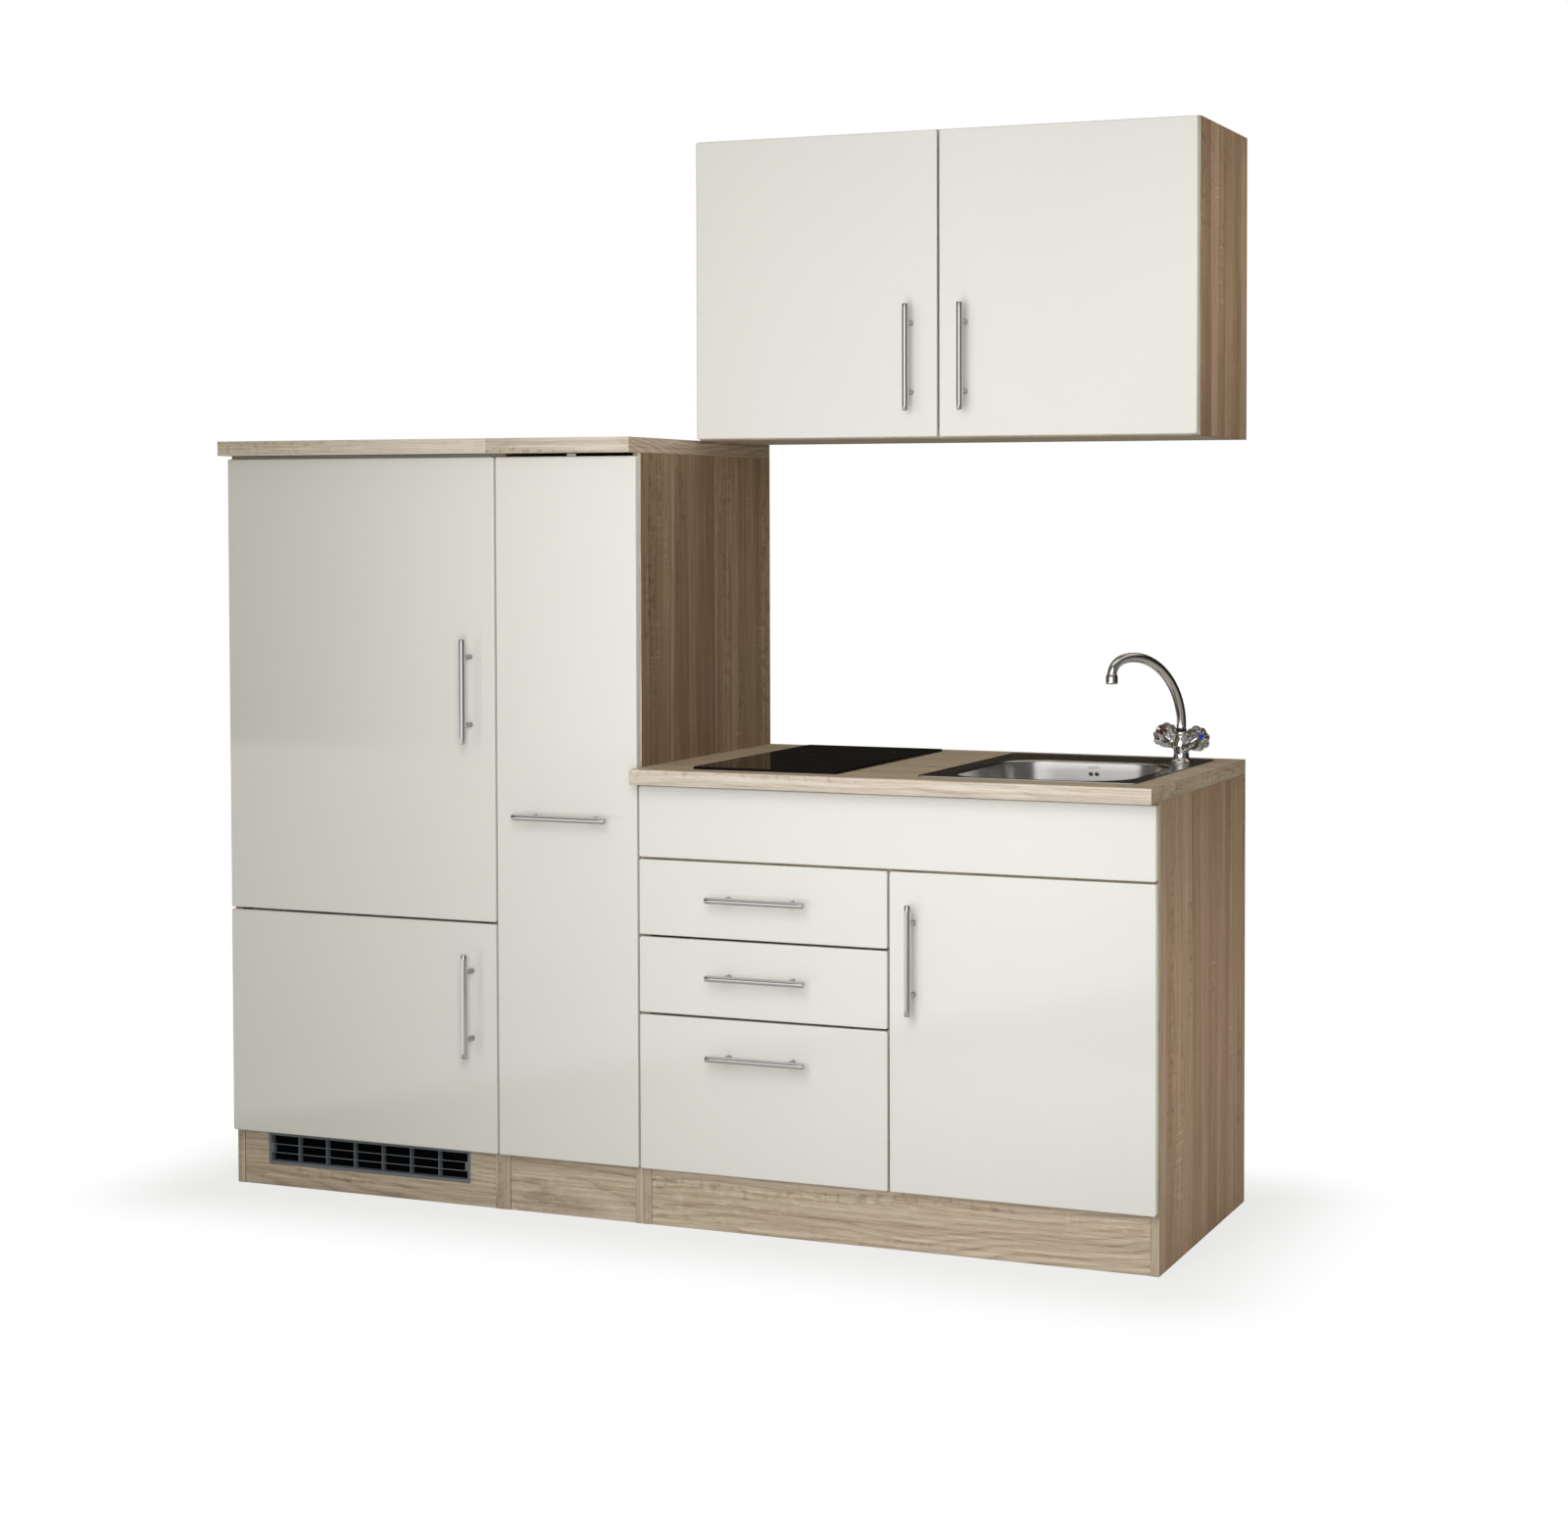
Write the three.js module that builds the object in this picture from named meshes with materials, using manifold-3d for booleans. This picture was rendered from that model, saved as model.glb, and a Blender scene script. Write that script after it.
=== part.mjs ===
// Kitchenette: a tall housing for a built-in fridge-freezer, a pull-out larder, a base unit with
// three drawers, a hob and a sink, and a wall cupboard over the worktop.
// Millimetres. X runs from left to right, Y from the fronts to the wall, Z up from the floor.
import * as THREE from 'three';
import { mergeVertices } from 'three/addons/utils/BufferGeometryUtils.js';
import Module from 'manifold-3d';

const wasm = await Module();
wasm.setup();

// ---- Driving dimensions ----

// Units and boards
const fridgeUnitWidth = 600;
const larderUnitWidth = 300;
const drawerColumnWidth = 500;
const sinkColumnWidth = 500;
const carcassDepth = 550;
const tallHeight = 1458;
const baseHeight = 850;
const wallUnitHeight = 570;
const wallUnitDepth = 310.5;
const board = 16;
const backBoard = 3;
const worktop = 28;
const worktopOverhang = 50;
const tallTopOverhang = 45;
const plinthHeight = 106;
const plinthRecess = 2;

// Fronts and their gaps
const frontBoard = 16;
const frontRest = 0.5;
const frontReveal = 2;
const frontGap = 4;
const frontBottom = 108;
const frontTopGap = 6;
const frontEdgeRound = 1.5;
const freezerSplit = 546;
const drawerSplits = [397, 541, 684];
const apronTopGap = 4;

// Bar handles
const handleLength = 198;
const handleHoles = 128;
const handleBarRadius = 6;
const handlePostRadius = 5;
const handleReach = 28.5;
const handleEndChamfer = 1.2;
const handleInset = 52;
const doorHandleInset = 47;
const fridgeHandleHeight = 984;
const freezerHandleHeight = 390;
const larderHandleHeight = 752;
const sinkHandleHeight = 529;
const wallHandleRise = 149;
const drawerHandleDrops = [68, 65, 66];

// Concealed door hinges
const hingeInset = 90;
const hingeArmLength = 60;
const hingeArmWidth = 14;
const hingeArmHeight = 13;
const knuckleGap = 1.5;
const knuckleWidth = 16;
const knuckleHeight = 18;
const knuckleReach = 3;

// Clearance between pieces that move past each other
const runGap = 0.3;

// Built-in fridge-freezer
const coolerSideGap = 14;
const coolerDepth = 484;
const coolerTopGap = 12;
const innerDoorThickness = 52;
const gasketDepth = 3;
const gasketInset = 8;
const gasketWidth = 12;
const coolerWall = 35;
const coolerFloor = 30;
const coolerBack = 45;
const coolerSplitWall = 65;
const coolerCorner = 18;
const innerDoorGap = 12.4;
const hingeLugWidth = 80;
const hingeLugHeight = 8;
const hingeLugDepth = 38;
const ledgeWidth = 10;
const ledgeHeight = 8;
const ledgeFront = 150;
const ledgeCount = 4;
const ledgePitch = 165;
const ledgeFirst = 175;
const stepHeight = 80;
const stepDepth = 130;
const doorRibInset = 54;
const doorRibWidth = 16;
const doorRibDepth = 58;
const doorRackDepth = 83;
const doorRackHeight = 70;
const doorRackWall = 3;
const doorRackCount = 3;
const doorRackPitch = 240;
const doorRackFirst = 55;
const freezerPlugDepth = 18;
const freezerPlugInset = 60;

// Vent grille in the fridge plinth
const grilleSide = 72;
const grilleBottom = 43;
const grilleHeight = 62;
const grilleLip = 4;
const grilleLipThickness = 1.7;
const grilleDepth = 14;
const grilleBar = 2.6;
const grilleColumns = 7;
const grilleRows = 3;

// Larder pull-out: telescopic runner, frame and wire baskets
const runnerFront = 30;
const runnerLength = 480;
const runnerWidth = 44;
const runnerWall = 3;
const runnerHeight = 7;
const runnerMouth = 8;
const runnerWeb = 6;
const memberFlange = 3.7;
const memberHeight = 31;
const uprightWidth = 30;
const uprightThickness = 12;
const rearUprightFront = 490;
const rackTop = 1390;
const rackBar = 10;
const guideWidth = 20;
const guideFront = 10;
const guideForkWall = 6;
const guideForkLength = 40;
const guideForkHeight = 28;
const basketWidth = 220;
const basketFrame = 5;
const basketWire = 3.6;
const basketHeight = 70;
const basketFloorWires = 8;
const basketLevels = [175, 420, 665, 910, 1150];

// Drawers
const drawerLength = 450;
const drawerSideGap = 12.5;
const drawerWall = 12;
const drawerFloor = 4;
const drawerFloorRise = 8;
const drawerRise = 26;
const drawerBoxHeights = [200, 90, 90];
const drawerFlange = 9.5;
const drawerFlangeThickness = 2;
const drawerRailWidth = 11.5;
const drawerRailHeight = 9;
const drawerRailFront = 10;

// Hob
const hobLeft = 106;
const hobFront = -3;
const hobWidth = 290;
const hobLength = 510;
const hobGlass = 5;
const hobCorner = 4;
const hobChamfer = 1.5;
const hobSeat = 9;
const hobCasingGap = 2;
const hobCasingDepth = 50;

// Sink
const sinkLeft = 43;
const sinkRight = 47;
const sinkFront = 8;
const sinkBack = 42;
const sinkRim = 2;
const sinkCorner = 12;
const sinkSheet = 1.2;
const sinkSeat = 13;
const bowlLeft = 41;
const bowlRight = 35;
const bowlFront = 22;
const bowlBack = 120;
const bowlCorner = 88;
const bowlDepth = 150;
const bowlDraft = 12;
const bowlLipDrop = 6;
const bowlLipInset = 3;
const bowlCornerDraft = 0.5;
const beadInset = 12;
const beadWidth = 16;
const beadFront = 50;
const beadLength = 375;
const beadDepth = 0.7;
const drainRadius = 29;
const drainFlange = 36;
const overflowDrop = 24;
const overflowRadius = 3;
const overflowPitch = 12;
const overflowLeft = 7;
const drainLip = 1.5;
const drainDish = 4;
const drainStep = 3;
const clampDepth = 10;
const clampStep = 4;
const trapRadius = 32;
const trapFootInset = 6;
const trapFootRise = 8;
const trapHeight = 90;
const trapDrop = 120;
const wastePipeRadius = 20;
const serviceWidth = 380;
const serviceAbove = 60;
const serviceBelow = 320;

// Mixer tap
const tapRight = 47;
const tapBack = 70;
const tapTurn = 233;
const tapShankRadius = 14;
const tapShankLength = 52;
const tapHoleRadius = 17;
const tapNutRadius = 24;
const tapNutHeight = 12;
const tapCollarHeight = 57;
const tapCollarLip = 1;
const tapArmHeight = 22;
const tapArmTilt = 26;
const tapArmRadius = 10;
const tapArmLength = 30;
const spindleRadius = 6;
const spindleLength = 8;
const spoutRadius = 9;
const spoutFootRadius = 7;
const spoutFootLength = 7;
const spoutSocketRadius = 11;
const spoutSocketHeight = 5;
const spoutSocketNeck = 2;
const spoutTop = 199;
const spoutCrown = 113;
const spoutReach = 159;
const spoutRise = 83;
const spoutCurl = 61;
const spoutStraight = 12;
const spoutTurn = 28;
const spoutDrop = 12;
const spoutSteps = 44;
const spoutSides = 14;
const aeratorRadius = 11;
const aeratorWall = 2;
const aeratorRecess = 3;
const aeratorEdge = 1;
const aeratorTop = 169;
const aeratorBottom = 151;
const knobFlutes = 8;
const knobFluteSteps = 6;
const knobFluteDepth = 0.07;

// Wall cupboard shelf
const shelfRise = 269;
const shelfSetback = 25;
const shelfPegLength = 9;
const shelfPegHeight = 5;
const shelfPegInset = 40;
const shelfGap = 0.5;

// Profiles. Each tap point is [radius, height], and each knob point adds how deep its flutes are
// as a part of the full depth. A heel point of the bowl is [inset, rise] over the bowl's floor.
const tapStem = [[23, 0], [22.4, 3], [16, 6], [14, 12], [14.5, 24], [15, 34], [12, 44], [11, 48]];
const knobProfile = [[13, 0, 0.2], [15, 4, 0.4], [20.5, 18, 1], [23.5, 27, 1], [20.5, 35, 0.8], [13, 39, 0.2]];
const bowlHeel = [[28, 0], [9.3, 6], [0, 30]];

// How far pieces of one solid reach into each other, and tools past what they cut
const bite = 1;

// Facets round small, middle and large circles
const smallSides = 12;
const barSides = 16;
const middleSides = 20;
const largeSides = 32;

// ---- Materials ----

function finish(color, roughness, metalness = 0) {
  return new THREE.MeshStandardMaterial({ color, roughness, metalness });
}
const oak = finish(0xb9a68c, 0.6);
const gloss = finish(0xeceadd, 0.15);
const hardboard = finish(0xe9e6dc, 0.6);
const brushedSteel = finish(0x9b978e, 0.35, 1);
const blackGlass = finish(0x08080a, 0.05);
const stainless = finish(0xb8b5ae, 0.3, 1);
const chrome = finish(0xd8d8dc, 0.08, 1);
const acrylic = finish(0xc9ccca, 0.1);
const whiteEnamel = finish(0xf1f1ee, 0.35);
const greyPlastic = finish(0x6f757b, 0.45);
const whitePlastic = finish(0xe8e8e6, 0.5);
const blackSteel = finish(0x1b1b1c, 0.5, 0.6);
const zincSteel = finish(0xc4c6c8, 0.35, 1);
const drawerGrey = finish(0xbfc1c0, 0.5);

// ---- Solids ----

// A closed geometry becomes a solid once its shared corners are merged.
function solidOf(geometry) {
  const bare = geometry.clone();
  bare.deleteAttribute('normal');
  bare.deleteAttribute('uv');
  const welded = mergeVertices(bare, 1e-4);
  const vertProperties = new Float32Array(welded.attributes.position.array);
  const triVerts = new Uint32Array(welded.index.array);
  return new wasm.Manifold(new wasm.Mesh({ numProp: 3, vertProperties, triVerts }));
}

function geometryOf(solid) {
  const mesh = solid.getMesh();
  const geometry = new THREE.BufferGeometry();
  geometry.setAttribute('position', new THREE.BufferAttribute(new Float32Array(mesh.vertProperties), 3));
  geometry.setIndex(new THREE.BufferAttribute(new Uint32Array(mesh.triVerts), 1));
  geometry.computeVertexNormals();
  return geometry;
}

const join = (...solids) => solids.reduce((whole, solid) => whole.add(solid));
const cut = (solid, ...tools) => tools.reduce((left, tool) => left.subtract(tool), solid);
const span = (a, b) => [Math.min(a, b), Math.max(a, b)];
const inset = ([low, high], by) => [low + by, high - by];
const repeat = (count, make) => Array.from({ length: count }, (_, index) => make(index));

// A block given by its low and high value on each axis. Its corners hold exactly these values.
function block([x0, x1], [y0, y1], [z0, z1]) {
  const geometry = new THREE.BoxGeometry(1, 1, 1);
  const corners = geometry.attributes.position;
  for (let index = 0; index < corners.count; index += 1) {
    const x = corners.getX(index) < 0 ? x0 : x1;
    const y = corners.getY(index) < 0 ? y0 : y1;
    const z = corners.getZ(index) < 0 ? z0 : z1;
    corners.setXYZ(index, x, y, z);
  }
  return solidOf(geometry);
}

// A round bar between two points.
function rod(from, to, radius, sides = middleSides) {
  const start = new THREE.Vector3(...from);
  const run = new THREE.Vector3(...to).sub(start);
  const geometry = new THREE.CylinderGeometry(radius, radius, run.length(), sides);
  geometry.translate(0, run.length() / 2, 0);
  const up = new THREE.Vector3(0, 1, 0);
  geometry.applyQuaternion(new THREE.Quaternion().setFromUnitVectors(up, run.normalize()));
  geometry.translate(start.x, start.y, start.z);
  return solidOf(geometry);
}

// A turned solid about the Z axis, from [radius, z] points that run upwards.
function turned(profile, sides = largeSides) {
  const points = profile.map(([radius, z]) => new THREE.Vector2(radius, z));
  const geometry = new THREE.LatheGeometry(points, sides);
  geometry.rotateX(Math.PI / 2);
  return solidOf(geometry);
}

function roundedOutline([x0, x1], [y0, y1], radius) {
  const shape = new THREE.Shape();
  shape.absarc(x1 - radius, y0 + radius, radius, -Math.PI / 2, 0);
  shape.absarc(x1 - radius, y1 - radius, radius, 0, Math.PI / 2);
  shape.absarc(x0 + radius, y1 - radius, radius, Math.PI / 2, Math.PI);
  shape.absarc(x0 + radius, y0 + radius, radius, Math.PI, Math.PI * 1.5);
  shape.closePath();
  return shape;
}

// An outline in X and Z, carried along Y.
function alongY(shape, [y0, y1], curveSegments = 4) {
  const geometry = new THREE.ExtrudeGeometry(shape, { depth: y1 - y0, bevelEnabled: false, curveSegments });
  geometry.rotateX(Math.PI / 2);
  geometry.translate(0, y1, 0);
  return solidOf(geometry);
}

// An outline in X and Y, carried along Z.
function alongZ(shape, [z0, z1], curveSegments = 6) {
  const geometry = new THREE.ExtrudeGeometry(shape, { depth: z1 - z0, bevelEnabled: false, curveSegments });
  geometry.translate(0, 0, z0);
  return solidOf(geometry);
}

function rectangle([x0, x1], [y0, y1]) {
  const shape = new THREE.Shape();
  shape.moveTo(x0, y0);
  shape.lineTo(x1, y0);
  shape.lineTo(x1, y1);
  shape.lineTo(x0, y1);
  return shape;
}

// A rectangular frame lying flat, with the given wall between its outline and its opening.
function flatFrame(x, y, z, wall) {
  const shape = rectangle(x, y);
  shape.holes.push(rectangle(inset(x, wall), inset(y, wall)));
  return alongZ(shape, z);
}

// A closed skin over rings of points that all have the same count, from the lowest to the highest.
function loft(rings) {
  const count = rings[0].length;
  const corners = rings.flat();
  const faces = [];
  for (let ring = 0; ring < rings.length - 1; ring += 1) {
    for (let side = 0; side < count; side += 1) {
      const low = ring * count + side;
      const next = ring * count + (side + 1) % count;
      faces.push(low, next, next + count, low, next + count, low + count);
    }
  }
  const lastRing = (rings.length - 1) * count;
  for (let side = 1; side < count - 1; side += 1) {
    faces.push(0, side + 1, side);
    faces.push(lastRing, lastRing + side, lastRing + side + 1);
  }
  const geometry = new THREE.BufferGeometry().setFromPoints(corners);
  geometry.setIndex(faces);
  return solidOf(geometry);
}

// A ring of points round a rounded rectangle at one height.
function roundedRing([x0, x1], [y0, y1], radius, z, cornerSteps = 6) {
  const corners = [
    [x1 - radius, y0 + radius, -1],
    [x1 - radius, y1 - radius, 0],
    [x0 + radius, y1 - radius, 1],
    [x0 + radius, y0 + radius, 2],
  ];
  return corners.flatMap(([x, y, quarter]) => repeat(cornerSteps + 1, (step) => {
    const angle = (quarter + step / cornerSteps) * Math.PI / 2;
    return new THREE.Vector3(x + radius * Math.cos(angle), y + radius * Math.sin(angle), z);
  }));
}

// A plate with rounded corners and a chamfer round its top edge.
function chamferedPlate(x, y, [z0, z1], radius, chamfer, cornerSteps = 3) {
  return loft([
    roundedRing(x, y, radius, z0, cornerSteps),
    roundedRing(x, y, radius, z1 - chamfer, cornerSteps),
    roundedRing(inset(x, chamfer), inset(y, chamfer), radius - chamfer, z1, cornerSteps),
  ]);
}

const group = new THREE.Group();

function addPart(name, solid, material) {
  const mesh = new THREE.Mesh(geometryOf(solid), material);
  mesh.name = name;
  group.add(mesh);
  return mesh;
}

// ---- Shared pieces ----

const frontFace = -frontRest - frontBoard;
const frontBack = -frontRest;

// A lacquered front whose face edges are broken by a small chamfer. Its face looks towards -Y.
function frontPanel([x0, x1], [z0, z1], back = frontBack) {
  const r = frontEdgeRound;
  const face = back - frontBoard;
  const ring = (inset, y) => [[x0, z0, 1, 1], [x1, z0, -1, 1], [x1, z1, -1, -1], [x0, z1, 1, -1]]
    .map(([x, z, sx, sz]) => new THREE.Vector3(x + sx * inset, y, z + sz * inset));
  return loft([ring(0, back), ring(0, face + r), ring(r, face)]);
}

// A round bar on two posts, standing off the face at y. Direction is [1, 0] for X or [0, 1] for Z.
function barHandle([x, z], [dx, dz], face = frontFace) {
  const axisY = face - handleReach;
  const at = (along, y) => [x + dx * along, y, z + dz * along];
  const half = handleLength / 2;
  const barHalf = half - handleEndChamfer;
  const bar = rod(at(-barHalf, axisY), at(barHalf, axisY), handleBarRadius, barSides);
  const tips = rod(at(-half, axisY), at(half, axisY), handleBarRadius - handleEndChamfer, barSides);
  const posts = [-1, 1].map((side) => {
    const along = side * handleHoles / 2;
    return rod(at(along, face), at(along, axisY), handlePostRadius, smallSides);
  });
  return join(bar, tips, ...posts);
}

// The part of a concealed hinge that stays on the door. Side is 1 where the hinge is at the left.
function doorKnuckles(edge, side, [z0, z1], back = frontBack) {
  const near = edge + side * (board - frontReveal + knuckleGap);
  const x = span(near, near + side * knuckleWidth);
  const heights = [z0 + hingeInset, z1 - hingeInset];
  return heights.map((z) => block(x, [back - bite, back + knuckleReach],
    [z - knuckleHeight / 2, z + knuckleHeight / 2]));
}

// The mounting plate and arm of a concealed hinge, which stay on the side panel's inner face.
function hingeArms(innerFace, side, [z0, z1], front = 0) {
  const x = span(innerFace - side * bite, innerFace + side * hingeArmWidth);
  const start = front - frontRest + knuckleReach + runGap;
  const heights = [z0 + hingeInset, z1 - hingeInset];
  return heights.map((z) => block(x, [start, start + hingeArmLength],
    [z - hingeArmHeight / 2, z + hingeArmHeight / 2]));
}

// ---- Tall unit for the fridge-freezer ----

const larderLeft = fridgeUnitWidth;
const baseLeft = fridgeUnitWidth + larderUnitWidth;
const baseRight = baseLeft + drawerColumnWidth + sinkColumnWidth;
const tallSideTop = tallHeight - worktop;
const tallFrontTop = tallSideTop - frontTopGap;
const bottomTop = plinthHeight + board;

function addTallCarcass(name, left, width) {
  const right = left + width;
  const inside = [left + board, right - board];
  const height = [0, tallSideTop];
  addPart(`${name}_side_left`, block([left, left + board], [0, carcassDepth], height), oak);
  addPart(`${name}_side_right`, block([right - board, right], [0, carcassDepth], height), oak);
  return inside;
}

function plinthBoard([x0, x1]) {
  return block([x0, x1], [plinthRecess, plinthRecess + board], [0, plinthHeight]);
}

const fridgeInside = addTallCarcass('fridge', 0, fridgeUnitWidth);
addPart('fridge_bottom', block(fridgeInside, [0, carcassDepth], [plinthHeight, bottomTop]), oak);
addPart('fridge_top_board', block([0, fridgeUnitWidth], [-tallTopOverhang, carcassDepth],
  [tallSideTop, tallHeight]), oak);

function addPlinthWithGrille() {
  const lipX = [grilleSide, fridgeUnitWidth - grilleSide];
  const top = grilleBottom + grilleHeight;
  const holeX = inset(lipX, grilleLip);
  const holeZ = [grilleBottom + grilleLip, top - grilleLip];
  const plinthY = [plinthRecess - bite, plinthRecess + board + bite];
  addPart('fridge_plinth', cut(plinthBoard(fridgeInside), block(holeX, plinthY, holeZ)), oak);

  const lip = block(lipX, [plinthRecess - grilleLipThickness, plinthRecess], [grilleBottom, top]);
  const bodyX = [holeX[0] + runGap, holeX[1] - runGap];
  const bodyZ = [holeZ[0] + runGap, holeZ[1] - runGap];
  const bodyY = [plinthRecess - grilleLipThickness, plinthRecess - grilleLipThickness + grilleDepth];
  const slotWidth = (bodyX[1] - bodyX[0] - grilleBar * (grilleColumns + 1)) / grilleColumns;
  const slotHeight = (bodyZ[1] - bodyZ[0] - grilleBar * (grilleRows + 1)) / grilleRows;
  const slots = repeat(grilleColumns * grilleRows, (index) => {
    const column = index % grilleColumns;
    const row = Math.floor(index / grilleColumns);
    const x = bodyX[0] + grilleBar + column * (slotWidth + grilleBar);
    const z = bodyZ[0] + grilleBar + row * (slotHeight + grilleBar);
    return block([x, x + slotWidth], [bodyY[0] - bite, bodyY[1] + bite], [z, z + slotHeight]);
  });
  addPart('fridge_plinth_grille', cut(join(lip, block(bodyX, bodyY, bodyZ)), ...slots), greyPlastic);
}
addPlinthWithGrille();

// ---- Built-in fridge-freezer ----

const coolerX = inset(fridgeInside, coolerSideGap);
const coolerFront = innerDoorThickness + gasketDepth + runGap;
const coolerTop = tallSideTop - coolerTopGap;
const freezerDoorZ = [bottomTop + hingeLugHeight, freezerSplit - innerDoorGap / 2 - runGap];
const fridgeDoorZ = [freezerSplit + innerDoorGap / 2 + runGap, coolerTop - runGap];

// The cavity of one compartment, open at the front.
function coolerCavity([z0, z1]) {
  const outline = roundedOutline([coolerX[0] + coolerWall, coolerX[1] - coolerWall], [z0, z1], coolerCorner);
  return alongY(outline, [coolerFront - bite, coolerFront + coolerDepth - coolerBack]);
}

function addCoolerCabinet() {
  const back = coolerFront + coolerDepth;
  const inner = [coolerX[0] + coolerWall, coolerX[1] - coolerWall];
  const splitHalf = coolerSplitWall / 2;
  const coldZ = [freezerSplit + splitHalf, coolerTop - coolerFloor];
  const frozenZ = [bottomTop + coolerFloor, freezerSplit - splitHalf];
  const shell = cut(block(coolerX, [coolerFront, back], [bottomTop, coolerTop]),
    coolerCavity(coldZ), coolerCavity(frozenZ));
  const ledgeY = [ledgeFront, back - coolerBack + bite];
  const ledges = repeat(ledgeCount, (level) => {
    const z = coldZ[0] + ledgeFirst + level * ledgePitch;
    return inner.map((wall, index) => {
      const x = index === 0 ? [wall - bite, wall + ledgeWidth] : [wall - ledgeWidth, wall + bite];
      return block(x, ledgeY, [z, z + ledgeHeight]);
    });
  }).flat();
  const stepY = [back - coolerBack - stepDepth, back - bite];
  const compressorStep = block([inner[0] - bite, inner[1] + bite], stepY,
    [bottomTop + bite, frozenZ[0] + stepHeight]);
  const hood = block(coolerX, [plinthRecess, coolerFront + bite], [coolerTop, tallSideTop - runGap]);
  const crown = block(coolerX, [coolerFront, back - stepDepth], [coolerTop - bite, tallSideTop - runGap]);
  const lugX = [coolerX[0], coolerX[0] + hingeLugWidth];
  const lugY = [coolerFront - hingeLugDepth, coolerFront + bite];
  const middleLug = block(lugX, lugY, [freezerDoorZ[1] + runGap, fridgeDoorZ[0] - runGap]);
  const bottomLug = block(lugX, lugY, [bottomTop, freezerDoorZ[0] - runGap]);
  addPart('cooler_cabinet', join(shell, ...ledges, compressorStep, hood, crown, middleLug, bottomLug),
    whiteEnamel);
}
addCoolerCabinet();

// An insulated door slab with its gasket ring at the back.
function insulatedDoor([z0, z1]) {
  const slab = block(coolerX, [0, innerDoorThickness], [z0, z1]);
  const ringX = [coolerX[0] + gasketInset, coolerX[1] - gasketInset];
  const ringZ = [z0 + gasketInset, z1 - gasketInset];
  const ringY = [innerDoorThickness - bite, innerDoorThickness + gasketDepth];
  const holeX = [ringX[0] + gasketWidth, ringX[1] - gasketWidth];
  const holeZ = [ringZ[0] + gasketWidth, ringZ[1] - gasketWidth];
  const gasket = cut(block(ringX, ringY, ringZ), block(holeX, [ringY[0] - bite, ringY[1] + bite], holeZ));
  return join(slab, gasket);
}

// The cold compartment's inner door carries two ribs with open racks between them.
function addFridgeInnerDoor() {
  const ribZ = [fridgeDoorZ[0] + doorRackFirst - doorRackWall, fridgeDoorZ[1] - doorRackFirst];
  const ribY = [innerDoorThickness - bite, innerDoorThickness + doorRibDepth];
  const left = coolerX[0] + doorRibInset;
  const right = coolerX[1] - doorRibInset;
  const ribs = [[left, left + doorRibWidth], [right - doorRibWidth, right]].map((x) => block(x, ribY, ribZ));
  const rackX = [left + doorRibWidth - doorRackWall, right - doorRibWidth + doorRackWall];
  const rackY = [innerDoorThickness - bite, innerDoorThickness + doorRackDepth];
  const racks = repeat(doorRackCount, (level) => {
    const z = fridgeDoorZ[0] + doorRackFirst + level * doorRackPitch;
    const inside = block([rackX[0] + doorRackWall, rackX[1] - doorRackWall],
      [innerDoorThickness, rackY[1] - doorRackWall], [z + doorRackWall, z + doorRackHeight + bite]);
    return cut(block(rackX, rackY, [z, z + doorRackHeight]), inside);
  });
  addPart('fridge_inner_door', join(insulatedDoor(fridgeDoorZ), ...ribs, ...racks), whiteEnamel);
}
addFridgeInnerDoor();

function addFreezerInnerDoor() {
  const [z0, z1] = freezerDoorZ;
  const inset = freezerPlugInset;
  const plug = block([coolerX[0] + inset, coolerX[1] - inset],
    [innerDoorThickness - bite, innerDoorThickness + freezerPlugDepth], [z0 + inset, z1 - inset]);
  addPart('freezer_inner_door', join(insulatedDoor(freezerDoorZ), plug), whiteEnamel);
}
addFreezerInnerDoor();

const fridgeFrontX = [frontReveal, fridgeUnitWidth - frontReveal];
const fridgeHandleX = fridgeFrontX[1] - handleInset;
addPart('fridge_front', frontPanel(fridgeFrontX, [freezerSplit + frontGap / 2, tallFrontTop]), gloss);
addPart('freezer_front', frontPanel(fridgeFrontX, [frontBottom, freezerSplit - frontGap / 2]), gloss);
addPart('fridge_handle', barHandle([fridgeHandleX, fridgeHandleHeight], [0, 1]), brushedSteel);
addPart('freezer_handle', barHandle([fridgeHandleX, freezerHandleHeight], [0, 1]), brushedSteel);

// ---- Tall unit with the pull-out larder ----

const larderInside = addTallCarcass('larder', larderLeft, larderUnitWidth);
const larderMiddle = larderLeft + larderUnitWidth / 2;
const insideBack = carcassDepth - backBoard;
const runnerY = [runnerFront, runnerFront + runnerLength];
const runnerBase = bottomTop;
const memberBottom = runnerBase + runGap;
const memberTop = memberBottom + memberHeight;

// The walls and lips that grip a flange. Up is 1 on the fixed rail and -1 on the frame's rail.
function runnerChannel(z, up, y) {
  const half = runnerWidth / 2;
  const rim = z + up * runnerHeight;
  const lip = z + up * (runGap + memberFlange + runGap);
  const atMiddle = (a, b) => span(larderMiddle + a, larderMiddle + b);
  return [-1, 1].flatMap((side) => [
    block(atMiddle(side * half, side * (half - runnerWall)), y, span(z - up * bite, rim)),
    block(atMiddle(side * half, side * runnerMouth), y, span(lip, rim)),
  ]);
}

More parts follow.
